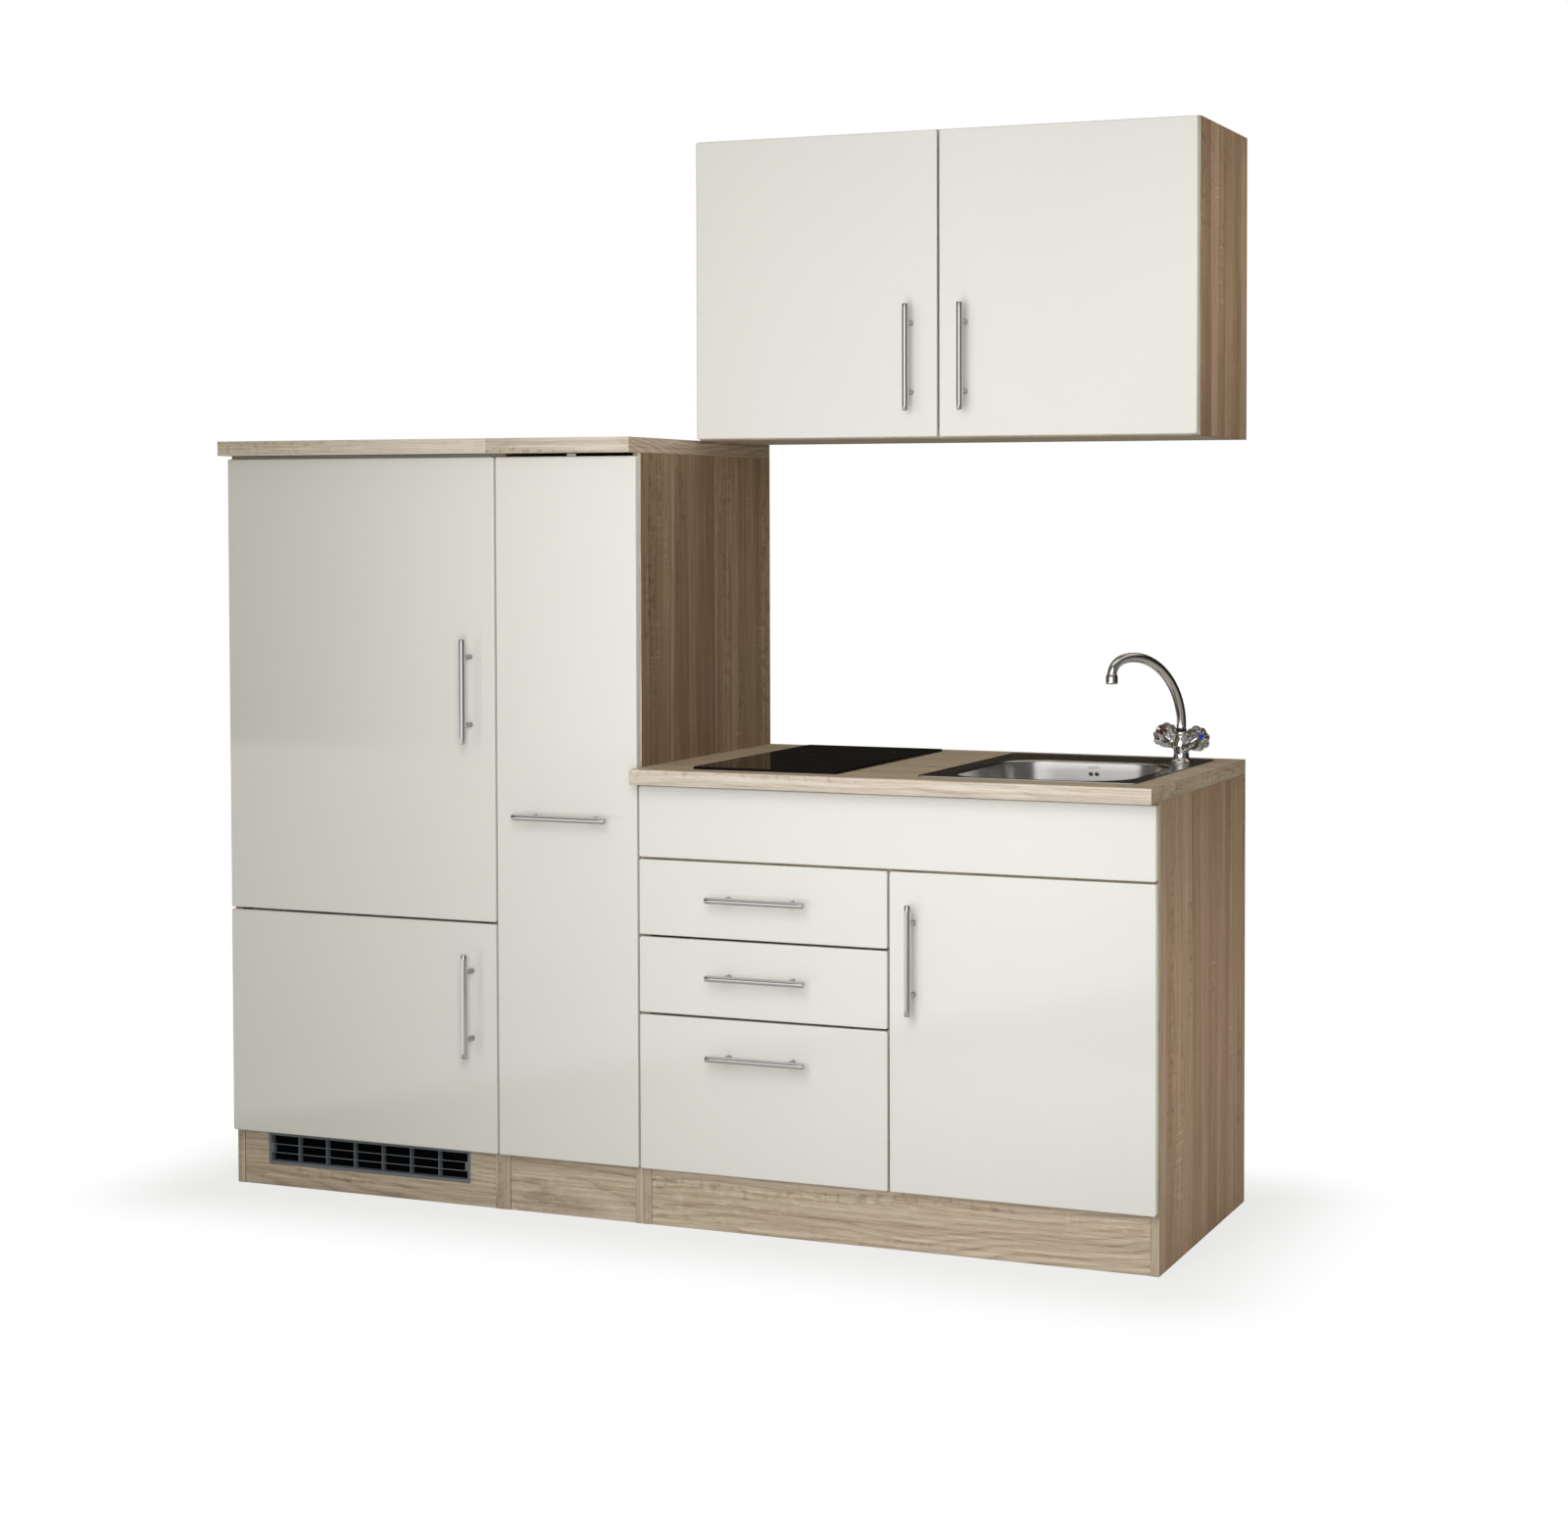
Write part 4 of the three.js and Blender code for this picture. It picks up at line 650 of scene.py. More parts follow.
worktopCuts = {
    "x": (900, 1015, 1287, 1456, 1840, 1900), "y": (-50, 6, 21, 495, 498, 550), "z": (822, 850),
    "hob": (slice(1, 2), slice(1, 4)), "sink": (slice(3, 4), slice(2, 3)), "grain": (1.33, 2.18),
}


def bandEdges(piece):
    # The edging strips: slot 1 on the faces towards the room, slot 2 on the right-hand end. On the tops and
    # the worktop slot 1 holds the strip oak, whose paler tone is painted light on faces turned to the lamps.
    x, y, _ = readAll(piece.data.polygons, "normal", 3).T
    slot = np.where(y < -0.7, 1, np.where(x > 0.7, 2, 0))
    piece.data.polygons.foreach_set("material_index", slot.astype(np.int32))


def addBoards(boards):
    # The tops show their edging strips, and the other boards the grain of their own broad faces. The upright
    # boards' broad faces take a darker, redder oak, painted shade for faces that get less light, while their
    # edges towards the room keep the plain oak. The packed boxes are rounded to a hundredth, which takes out
    # their single-precision noise.
    for node, (along, wood, shift) in boards.items():
        low, high = np.round(boxOf(node), 2)
        if node in boardAlone:
            axis, low[axis], high[axis] = boardAlone[node]
        bands = "oakEdge oakEnd" if node.endswith("top_board") else "oakFlat " + wood
        piece = addPiece(node + "_board", boxShell(low, high, 0.6), f"{wood} {bands}", stands=node,
                         grain=(along, shift))
        if "plinth" not in node:
            bandEdges(piece)


def addFrontRails(form):
    # The cross rails between the side panels, behind the gap under the apron.
    low, high = boxOf("base_bottom")
    split = boxOf("base_partition")[1][0]
    for name, x in (("left", (low[0], split - form["board"])), ("right", (split, high[0]))):
        shell = boxShell(*zip(x, form["y"], form["z"]), 0.6)
        addPiece(f"base_front_rail_{name}", shell, "oakFlat", grain=(0, form["grain"]))


def addCutBoards(plinth, top):
    # The plinth with the grille's opening, and the worktop with those of the hob and the sink.
    shell = cellShell(plinth["x"], plinth["z"], plinth["y"], [(1, 1)], 1)
    addPiece("fridge_plinth_board", shell, "oakFlat", stands="fridge_plinth", smooth=False,
             grain=(0, plinth["grain"]), merge=True, bevel=0.5)
    shell = cellShell(top["x"], top["y"], top["z"], [top["hob"], top["sink"]], 2)
    bandEdges(addPiece("worktop_board", shell, "oakFlat oakEdge oakEnd", stands="worktop",
                       smooth=False, grain=(0, top["grain"]), merge=True, bevel=0.8))


addBoards(oakBoards)
addFrontRails(railForm)
addCutBoards(plinthCut, worktopCuts)
for backNode in ("larder_back", "base_back", "wall_back"):
    dressNode(backNode, "hardboardFoil")
print("boards made")


# Lacquered fronts

frontPieces = {
    # node: body
    "fridge_front": "fridge_door", "freezer_front": "freezer_door", "larder_front": "larder_pullout",
    "base_apron": "carcass", "drawer_1_front": "drawer_top", "drawer_2_front": "drawer_middle",
    "drawer_3_front": "drawer_bottom", "sink_door": "sink_cupboard_door",
    "wall_door_left": "wall_cupboard_door_left", "wall_door_right": "wall_cupboard_door_right",
}
frontForm = {"thick": 16, "corner": 4.0, "edge": 2.4, "edgeBack": 0.6, "hold": 0.7}


def frontPlace(node):
    # A front's x and z ranges, its face and its back, which is one board's thickness behind the face.
    (x0, face, z0), (x1, _, z1) = np.round(boxOf(node), 2)
    return (x0, x1), (z0, z1), face, face + frontForm["thick"]


def addFronts(fronts, form):
    # Each front is a slab with round front edges; its last face, the back, has the foil.
    for node, body in fronts.items():
        x, z, face, back = frontPlace(node)
        shell = slabShell(1, x, z, (face, back), form["corner"], form["edge"], form["hold"],
                          cornerSteps=6, edgeSteps=6, edgeBack=form["edgeBack"])
        piece = addPiece(node + "_panel", shell, "frontLacquer frontBackFoil", body, node)
        piece.data.polygons[-1].material_index = 1


addFronts(frontPieces, frontForm)
print("fronts made")


# Bar handles

handlePlaces = {
    # node: front that carries it, centre x and z, direction 0 for x or 2 for z
    "fridge_handle": ("fridge_front", 546, 984, 2),
    "freezer_handle": ("freezer_front", 546, 390, 2),
    "larder_handle": ("larder_front", 750, 752, 0),
    "drawer_1_handle": ("drawer_1_front", 1150, 616, 0),
    "drawer_2_handle": ("drawer_2_front", 1150, 474, 0),
    "drawer_3_handle": ("drawer_3_front", 1150, 327, 0),
    "sink_door_handle": ("sink_door", 1449, 529, 2),
    "wall_handle_left": ("wall_door_left", 1346, 1607, 2),
    "wall_handle_right": ("wall_door_right", 1454, 1607, 2),
}
handleForm = {"length": 198, "holes": 128, "bar": 6.0, "post": 5.0, "reach": 28.5, "chamfer": 1.3}


def addHandles(places, length, holes, bar, post, reach, chamfer):
    # A turned bar with chamfered ends, on two posts that stand on the front's face.
    half = length / 2
    end = [(0, 0), (bar - chamfer - 0.3, 0), (bar - chamfer, 0.1), (bar - 0.25, chamfer - 0.15),
           (bar, chamfer + 0.3), (bar, 12)]
    profile = [(r, h - half) for r, h in end] + [(bar, 0)] + [(r, half - h) for r, h in end[::-1]]
    postProfile = [(0, 0), (post, 0), (post, 0.4), (post - 0.3, 0.9), (post - 0.3, reach - bar),
                   (post - 0.3, reach)]
    for node, (front, x, z, way) in places.items():
        face, direction = frontPlace(front)[2], np.eye(3)[way]
        shells = [latheShell(profile, (x, face - reach, z), direction)]
        for side in (-1, 1):
            foot = np.array([x, face, z]) + direction * side * holes / 2
            shells.append(latheShell(postProfile, foot, toRoom, 24, slot=1))
        addPiece(node + "_bar", shells, "barSteel postSteel", frontPieces[front], node)


addHandles(handlePlaces, **handleForm)
print("handles made")


# Plinth grille

grilleForm = {
    "x": (72, 528), "z": (43, 105), "face": 0.3, "lip": 4.0, "lipThick": 1.7, "play": 0.3, "wall": 1.6,
    "depth": 14.0, "columns": 7, "rows": 3, "post": 1.7, "slat": 1.3, "slatDrop": 3.0, "endStep": 5.0,
}


def addGrille(x, z, face, lip, lipThick, play, wall, depth, columns, rows, post, slat, slatDrop, endStep):
    # A lipped frame with upright posts and slats that slope down to the back, over a black sheet that paints
    # the shade of the cavity behind them.
    inX, inZ, deep = inset(x, lip + play), inset(z, lip + play), face + depth
    opening, heights = inset(inX, wall), inset(inZ, wall)
    shells = [frameShell(x, z, lip + wall, (face, face + lipThick)), frameShell(inX, inZ, wall, (face + 0.5, deep))]
    for column in range(1, columns):
        middle = opening[0] + (opening[1] - opening[0]) * column / columns
        shells.append(boxShell((middle - post / 2, face + 0.5, heights[0] - 0.4),
                               (middle + post / 2, deep - 0.4, heights[1] + 0.4), 0.35))
    pitch = (heights[1] - heights[0]) / rows
    for row in range(1, rows):
        level = heights[0] + pitch * row
        low, high = inset((level, level), -slat / 2)
        slope = [(face + 0.5, low), (face + 0.9, high), (deep - 1.0, high - slatDrop), (deep - 1.0, low - slatDrop)]
        shells.append(prismShell(slope, 0, inset(opening, -0.4)))
    for edge, way in zip(opening, (1, -1)):
        near, far = sorted((edge, edge + way * endStep))
        shells.append(boxShell((near - 0.3, face + 0.45, heights[0] + pitch), (far, face + 12, heights[1] - pitch),
                               0.8))
    addPiece("plinth_grille", shells, "grillePlastic", stands="fridge_plinth_grille",
             merge=True, smooth=False, bevel=0.25)
    # Painted shade: a black sheet behind the grille, where the real plinth is open.
    shadowSheet = boxShell((inX[0] + 0.4, deep, inZ[0] + 0.4), (inX[1] - 0.4, deep + 2, inZ[1] - 0.4))
    addPiece("grille_shadow_sheet", shadowSheet, "shadowSheetBlack")


addGrille(**grilleForm)
print("grille made")


# Hob

hobForm = {"x": (1006, 1296), "y": (-3, 507), "z": (850, 855), "corner": 5.0, "bevel": 1.5, "margin": 11,
           "casing": 802, "vents": 9, "ventPitch": 14, "ventStart": 60}


def addHob(x, y, z, corner, bevel, margin, casing, vents, ventPitch, ventStart):
    # The glass plate, and under it a tray with a row of vents in its floor.
    glass = slabShell(2, x, y, z, corner, 0.5, 0.6, cornerSteps=6, edgeSteps=4, edgeBack=bevel)
    addPiece("hob_plate", glass, "hobGlassBlack", stands="hob_glass")
    (x0, x1), (y0, y1) = inset(x, margin), inset(y, margin)
    box = [boxShell((x0, y0, casing), (x1, y1, z[0] - 0.1), 2.5, steps=3)]
    for index in range(vents):
        place = y0 + ventStart + index * ventPitch
        # Each vent is a black strip that paints the shade inside the slot.
        box.append(boxShell((x0 + 60, place, casing - 1), (x1 - 60, place + 5, casing + 0.4), 0.4, slot=1))
    addPiece("hob_tray", box, "casingSteel darkPlastic", stands="hob_casing")


addHob(**hobForm)
print("hob made")


# Sink

sinkForm = {
    "x": (1443, 1853), "y": (8, 508), "corner": 12.0, "deck": 851.2, "sheet": 0.8,
    "rim": [(0.2, -1.15), (0.0, -0.5), (0.4, 0.3), (1.4, 0.75), (3.0, 0.8), (5.5, 0.45), (8.0, 0.08), (10.0, 0.0)],
    "bowlX": (1484, 1818), "bowlY": (30, 388), "bowlCorner": 88.0, "lip": 5.0, "floor": 702.0,
    "wallDrop": 114.0, "taper": 12.0, "heel": (28.0, 29.0), "drain": (1651, 209), "drainEdge": 40.0,
    "drainSteps": ((37.5, 0.05), (36, 0.4), (29.5, 0.5), (29.5, 4.0)),
    "bead": (1463, (66, 425)), "beadHalf": 6.5, "beadSlope": 1.8, "beadDepth": 1.0,
    # seal: the seal under the rim, whose black edge also paints the shadow line there.
    "seal": ((0.7, 849.95), (0.5, 850.3), (7.0, 850.3), (7.0, 849.95)),
    "overflow": ((1644, 828), (1656, 828)), "overflowY": 383.75, "overflowWay": (0, -1, 0.08),
    "overflowRing": [(3.0, 0), (3.9, 0), (3.7, 0.45), (3.1, 0.5), (2.9, 0.3)],
    "overflowBox": ((1636, 387.4, 812), (1664, 399, 844)),
}


def sinkSheet(form):
    # One pressed sheet: rounded rectangles that shrink from the rim over the deck, the lip, the wall,
    # the rounded heel and the floor to the round drain. Each stage is x range, y range, radius, height.
    deck, lip, floor, taper = form["deck"], form["lip"], form["floor"], form["taper"]
    (cx, cy), (heelIn, heelDown) = form["drain"], form["heel"]
    heelTop = deck - lip - form["wallDrop"]

    def bowl(shrink, height, loose=0.5):
        return (*inset(form["bowlX"], shrink), *inset(form["bowlY"], shrink), form["bowlCorner"] - shrink * loose,
                height)

    def about(halfX, halfY, radius, height):
        return cx - halfX, cx + halfX, cy - halfY, cy + halfY, radius - 0.01, height

    stages = [(*inset(form["x"], s), *inset(form["y"], s), form["corner"] - s * 0.5, deck + rise)
              for s, rise in form["rim"]]
    start, goal = np.array(stages[-1]), np.array(bowl(-lip, deck, 1.0))
    stages += [start + (goal - start) * share for share in np.linspace(0, 1, 27)[1:]]
    for turn in np.linspace(0, math.pi / 2, 7)[1:]:
        stages.append(bowl(-lip + lip * math.sin(turn), deck - lip * (1 - math.cos(turn)), 1.0))
    for share in np.linspace(0, 1, 10)[1:]:
        stages.append(bowl(taper * share ** 1.2, deck - lip - form["wallDrop"] * share))
    for turn in np.linspace(0, math.pi / 2, 9)[1:]:
        stages.append(bowl(taper + heelIn * (1 - math.cos(turn)), heelTop - heelDown * math.sin(turn)))
    x0, x1, y0, y1, radius, height = stages[-1]
    start = np.array([(x1 - x0) / 2, (y1 - y0) / 2, radius])
    for share in np.linspace(0, 1, 14)[1:]:
        halfX, halfY, radius = start + (form["drainEdge"] - start) * share
        stages.append(about(halfX, halfY, min(radius, halfX, halfY),
                            height - (height - floor) * math.sin(share * math.pi / 2)))
    for radius, drop in form["drainSteps"]:
        stages.append(about(radius, radius, radius, floor - drop))
    rings = np.array([lift(roundedOutline(stage[:2], stage[2:4], stage[4], 16, 40), 2, stage[5])
                      for stage in stages])
    beadX, beadY = form["bead"]
    far = np.hypot(rings[..., 0] - beadX, rings[..., 1] - np.clip(rings[..., 1], *beadY))
    share = np.clip((form["beadHalf"] - far) / form["beadSlope"], 0, 1)
    sunk = form["beadDepth"] * share * share * (3 - 2 * share)
    rings[..., 2] -= np.where(rings[..., 2] > deck - 0.3, sunk, 0)
    return rings


def thickShell(rings, thick):
    # A second skin one sheet thickness under the first: each point moves along the cross product of
    # the grid's two directions.
    around = (np.roll(rings, -1, axis=1) - np.roll(rings, 1, axis=1)) / 2
    normal = np.cross(np.gradient(rings, axis=0), around)
    normal /= np.maximum(np.linalg.norm(normal, axis=2), 1e-9)[..., None]
    if normal[len(rings) // 4, 0, 2] > 0:
        normal = -normal
    return gridShell(np.concatenate([rings, (rings + normal * thick)[::-1]]), looped=True)


def addSink(form):
    # The sheet, the seal ring under its rim, whose black edge also paints the shadow line under the rim, and
    # the overflow's two holes with the box behind them.
    addPiece("sink_sheet", thickShell(sinkSheet(form), form["sheet"]), "sinkSteel", stands="sink")
    seal = [lift(roundedOutline(inset(form["x"], s), inset(form["y"], s), form["corner"], 6), 2, height)
            for s, height in form["seal"]]
    addPiece("sink_seal_and_shadow_line", gridShell(seal, looped=True), "blackRubber")
    holes = [boxShell(*form["overflowBox"], 3, slot=2)]
    for x, z in form["overflow"]:
        place, way = (x, form["overflowY"], z), form["overflowWay"]
        # Each overflow hole is a black disc that paints the shade inside it.
        holes += [pinShell(3.0, (0, 0.35), place, way), latheShell(form["overflowRing"], place, way, 20, 1)]
    addPiece("sink_overflow", holes, "darkPlastic sinkSteel palePlastic")


wasteForm = {
    "strainer": [(0, 696.2), (20, 696.2), (26, 697.5), (28.6, 700), (28.9, 702.1), (35.6, 702.1), (36, 702.7),
                 (35.2, 703.4), (33, 703.6), (29, 702.6), (27.2, 700), (24.5, 698.3), (20, 697.5), (7, 697.3),
                 (5.5, 698.6), (4.8, 703.5), (6.5, 704.8), (6.5, 706.4), (4, 707.4), (0, 707.6)],
    "holes": ((11.5, 8), (17.5, 14)), "trap": (582, 672), "trapRadius": 32.0, "pipeZ": 627.0,
    "neck": [(22, 672), (22, 675), (20, 676), (20, 676), (26, 678), (26, 690), (32, 692), (34, 699.8),
             (30, 700.2), (0, 700.2)],
    "pipe": [(0, 0), (20, 0), (20, 60), (24, 62), (24, 78), (20, 80), (20, 338.5), (22.5, 339), (22.5, 341),
             (0, 341)],
}


def addWaste(strainer, holes, trap, trapRadius, pipeZ, neck, pipe):
    # The strainer with two rings of holes, drawn as black dots that paint the shade inside them, and the
    # bottle trap with its three nuts and the wall pipe.
    cx, cy = sinkForm["drain"]
    shells = [latheShell(strainer, (cx, cy, 0), sides=48)]
    for radius, count in holes:
        for angle in np.arange(count) / count * 2 * math.pi:
            place = (cx + radius * math.cos(angle), cy + radius * math.sin(angle), 697.0)
            shells.append(pinShell(1.7, (0, 0.62), place, sides=10, slot=1))
    addPiece("sink_strainer", shells, "sinkSteel darkPlastic", stands="sink_waste")
    r, (low, high) = trapRadius, trap
    body = [(0, low), (r - 8, low), (r - 3, low + 2), (r, low + 7), (r, low + 26), (r - 2, low + 28),
            (r - 2, low + 56), (r, low + 58), (r, high - 4), (r - 4, high)]
    shells = [latheShell(body + neck, (cx, cy, 0), sides=40)]
    for level, wide in ((low + 14, r + 1), (high - 10, r + 1), (684, 26.4)):
        nut = [(wide - 3, level - 7), (wide, level - 6), (wide, level + 6), (wide - 3, level + 7)]
        shells.append(latheShell(nut, (cx, cy, 0), sides=72, flutes=(18, [0, 0.03, 0.03, 0])))
    shells.append(latheShell(pipe, (cx, cy, pipeZ), toWall))
    addPiece("sink_trap", shells, "palePlastic")


addSink(sinkForm)
addWaste(**wasteForm)
print("sink made")


# Mixer tap

tapForm = {
    "centre": (1806, 438), "deck": 852.0, "turn": 233.0, "armHeight": 22.0, "armTilt": 26.0,
    "collar": 57.0, "tube": 9.0, "crown": 113.0, "top": 199.0, "reach": 159.0, "rise": 83.0, "curl": 61.0,
    "straight": 12.0, "bend": 28.0, "drop": 12.0, "nozzle": (151.0, 169.0),
    "stem": [(0, -52), (10, -52), (14, -50), (14, -14), (13.9, -0.8), (22.6, -0.8), (23, -0.2), (23, 0.8),
             (22.2, 2.2), (19.5, 3.6), (16.4, 5.2), (14.9, 8), (14.2, 13), (14.6, 22), (15.1, 30), (14.6, 36),
             (12.6, 42), (11.2, 46), (10.6, 48), (10.6, 50), (11.4, 50.6), (11.6, 52), (11.6, 55.4), (11.0, 56.6),
             (8.2, 57), (0, 57)],
    "nut": [(0, -14.6), (24, -14.6), (24.5, -13.6), (24.5, -4), (24, -3), (0, -3)],
    "arm": [(0, 0), (9.2, 0), (9.2, 14), (9.6, 15.5), (9.6, 22), (9.0, 23), (9.0, 24), (10.6, 24.6), (11.0, 26),
            (11.0, 28.6), (10.2, 29.6), (6.0, 30), (6.0, 38), (0, 38)],
    "ring": [(0, -6.8), (6.8, -6.8), (6.8, 0), (9.6, 0), (9.8, 4.6), (9.4, 5.2), (0, 5.2)],
}
knobForm = {
    "start": 30.3, "flutes": 8, "fluteDepth": 0.075,
    "profile": [(0, 0.0), (11.5, 0.0), (13.2, 0.8), (14.4, 3), (15.6, 6), (17.8, 11), (20.2, 17), (22.5, 22.5),
                (23.5, 27), (23.0, 31), (21.2, 34.8), (18.2, 37.2), (13.8, 38.5), (8.6, 38.9), (6.4, 38.5),
                (5.8, 37.4), (0, 37.2)],
    "fluted": [0, 0.1, 0.3, 0.5, 0.7, 0.9, 1, 1, 1, 0.95, 0.85, 0.7, 0.45, 0.2, 0.05, 0, 0],
    "insert": [(0, 0.6), (6.4, 0.6), (6.4, 16), (7.4, 17), (7.4, 21), (4.2, 22), (3.6, 34), (0, 34)],
    "cap": [(0, 37.3), (5.2, 37.3), (5.2, 38.4), (4.6, 38.9), (0, 39.1)],
}


def bezier(a, b, c, d, count):
    # p = (1-t)^3 a + 3 (1-t)^2 t b + 3 (1-t) t^2 c + t^3 d
    t = np.linspace(0, 1, count)[:, None]
    a, b, c, d = (np.asarray(v, float) for v in (a, b, c, d))
    return (1 - t) ** 3 * a + 3 * (1 - t) ** 2 * t * b + 3 * (1 - t) * t ** 2 * c + t ** 3 * d


def tapPoint(reach, height):
    # A point in the spout's upright plane: its reach from the stem's axis and its height over the deck.
    turn = math.radians(tapForm["turn"])
    x, y = tapForm["centre"]
    return np.array([x + reach * math.cos(turn), y + reach * math.sin(turn), tapForm["deck"] + height])


def armWay(side):
    # The direction of a knob's arm: square to the spout's plane, and raised by the tilt.
    turn, tilt = math.radians(tapForm["turn"]), math.radians(tapForm["armTilt"])
    return np.array([-side * math.sin(turn) * math.cos(tilt), side * math.cos(turn) * math.cos(tilt),
                     math.sin(tilt)])


def addTapBody(form):
    # The turned stem, the nut that holds it under the deck, and the two raised arms.
    foot, root = tapPoint(0, 0), tapPoint(0, form["armHeight"])
    shells = [latheShell(form["stem"], foot, sides=48), latheShell(form["nut"], foot, sides=6, slot=1)]
    shells += [latheShell(form["arm"], root, armWay(side), 36) for side in (-1, 1)]
    addPiece("tap_column", shells, "chromePlate zincPlate", stands="tap_body")


def addTapNeck(form):
    # A tube along a straight stretch and two curves, with a sleeve and a screen at its tip.
    base, top, crown, reach = form["collar"] + 0.3, form["top"], form["crown"], form["reach"]
    shoulder, (n0, n1) = base + form["straight"], form["nozzle"]
    low = np.linspace(tapPoint(0, base + 4), tapPoint(0, shoulder), 4)
    climb = bezier(tapPoint(0, shoulder), tapPoint(0, base + form["rise"]), tapPoint(crown - form["curl"], top),
                   tapPoint(crown, top), 44)
    over = bezier(tapPoint(crown, top), tapPoint(crown + form["bend"], top), tapPoint(reach, top - form["drop"]),
                  tapPoint(reach, n0 + 12), 26)
    tip = tapPoint(reach, 0)
    sleeve = [(9.0, n0 + 3), (9.2, n0 + 0.3), (9.6, n0), (10.4, n0), (10.9, n0 + 0.6), (11, n0 + 3), (11, n0 + 12),
              (10.8, n1 - 3), (10.0, n1 - 2.2), (9.9, n1 - 1), (9.3, n1), (8.8, n1)]
    shells = [tubeShell(np.concatenate([low[:-1], climb[:-1], over]), form["tube"], 32),
              # The black disc in the sleeve is the aerator's dark insert; its black is partly painted shade inside
              # the outlet.
              latheShell(sleeve, tip, sides=36), pinShell(9.1, (n0 + 2.2, n0 + 3), tip, sides=24, slot=1),
              latheShell(form["ring"], tapPoint(0, base), sides=36, slot=2)]
    addPiece("tap_neck_tube", shells, "chromePlate darkPlastic blackRubber", "tap_neck", "tap_spout")


def addKnobs(start, flutes, fluteDepth, profile, fluted, insert, cap):
    # A fluted clear handwheel round a plated insert, with a coloured dot in its face.
    depth = [fluteDepth * share for share in fluted]
    for name, side, dot in (("cold", 1, "blueDot"), ("hot", -1, "redDot")):
        way, body = armWay(side), name + "_knob"
        base = tapPoint(0, tapForm["armHeight"]) + way * start
        addPiece(f"tap_handwheel_{name}", latheShell(profile, base, way, 96, flutes=(flutes, depth)),
                 "clearAcrylic", body, f"tap_knob_{name}")
        addPiece(f"tap_insert_{name}", latheShell(insert, base, way, 24), "chromePlate", body)
        addPiece(f"tap_dot_{name}", latheShell(cap, base, way, 28), dot, body)


addTapBody(tapForm)
addTapNeck(tapForm)
addKnobs(**knobForm)
print("tap made")


# Drawer boxes and the rails they run on

drawerForm = {"wall": 12.0, "floorRise": 8.0, "floor": 4.0, "flange": 9.5, "sheet": 1.2, "leg": 24.0,
              "front": 10.0, "screws": (60, 250, 420)}
drawerRailForm = {"width": 11.5, "height": 9.0, "sheet": 1.2, "gap": 0.3, "length": 450, "board": 16,
                  "screws": (37, 226, 400)}
drawerBodies = {1: "drawer_top", 2: "drawer_middle", 3: "drawer_bottom"}
screwHead = [(0, 0), (3.4, 0), (3.6, 0.5), (2.9, 1.3), (1.4, 1.7), (1.0, 1.1), (0, 1.1)]


def addDrawers(wall, floorRise, floor, flange, sheet, leg, front, screws):
    # Four walls and a floor, with an angle of enamelled steel along each side.
    angle = [(0.02, 0), (flange - 0.18, 0), (flange - 0.18, sheet), (sheet + 0.02, sheet), (sheet + 0.02, leg),
             (0.02, leg)]
    for number, body in drawerBodies.items():
        (x0, y0, z0), (x1, y1, z1) = boxOf(f"drawer_{number}_box")
        x0, x1, rest = x0 + flange, x1 - flange, z0 + floorRise
        shells = [
            boxShell((x0, y0, z0), (x0 + wall, y1, z1), 0.9, steps=3),
            boxShell((x1 - wall, y0, z0), (x1, y1, z1), 0.9, steps=3),
            boxShell((x0 + wall, y0, z0), (x1 - wall, y0 + wall, z1 - 0.6), 0.9, steps=3),
            boxShell((x0 + wall, y1 - wall, z0), (x1 - wall, y1, z1 - 0.6), 0.9, steps=3),
            boxShell((x0 + wall - 0.2, y0 + wall - 0.2, rest), (x1 - wall + 0.2, y1 - wall + 0.2, rest + floor),
                     0.3, slot=1),
        ]
        for face, side in ((x0, -1), (x1, 1)):
            outline = [(face + side * px, z0 + pz) for px, pz in angle]
            shells.append(prismShell(outline, 1, (y0 + front + 0.5, y1 - 0.3), slot=2))
            shells += [latheShell(screwHead, (face + side * sheet, y0 + y, z0 + 14), (side, 0, 0), 14, slot=2)
                       for y in screws]
        addPiece(f"drawer_{number}_tray", shells, "drawerFoil hardboardFoil runnerEnamel", body,
                 f"drawer_{number}_box", smooth=False, bevel=0.2)


def addDrawerRails(width, height, sheet, gap, length, board, screws):
    # A channel for each drawer on each side of the cupboard, with a wheel at its front.
    channel = [(0.02, -height), (width, -height), (width, -height + sheet), (sheet, -height + sheet),
               (sheet, -sheet), (width, -sheet), (width, 0), (0.02, 0)]
    wheel = [(0, 0), (3.0, 0), (3.3, 0.4), (3.3, 4.4), (3.0, 4.8), (0, 4.8)]
    faces = boxOf("base_bottom")[0][0], boxOf("base_partition")[1][0] - board
    for name, face, side in (("left", faces[0], 1), ("right", faces[1], -1)):
        shells = []
        for number in drawerBodies:
            top, y0 = boxOf(f"drawer_{number}_box")[0][2] - gap, drawerForm["front"]
            middle, inwards = top - height / 2, (side, 0, 0)
            outline = [(face + side * px, top + pz) for px, pz in channel]
            shells.append(prismShell(outline, 1, (y0, y0 + length)))
            shells.append(latheShell(wheel, (face + side * (width - 5.2), y0 + 13, middle), inwards, 24, 1))
            shells += [latheShell(screwHead, (face + side * sheet, y0 + y, middle), inwards, 12) for y in screws]
        addPiece(f"drawer_rails_{name}", shells, "runnerEnamel palePlastic", smooth=False, bevel=0.15)


addDrawers(**drawerForm)
addDrawerRails(**drawerRailForm)
print("drawers made")


# Concealed hinges: a cup on each door and an arm on each side panel

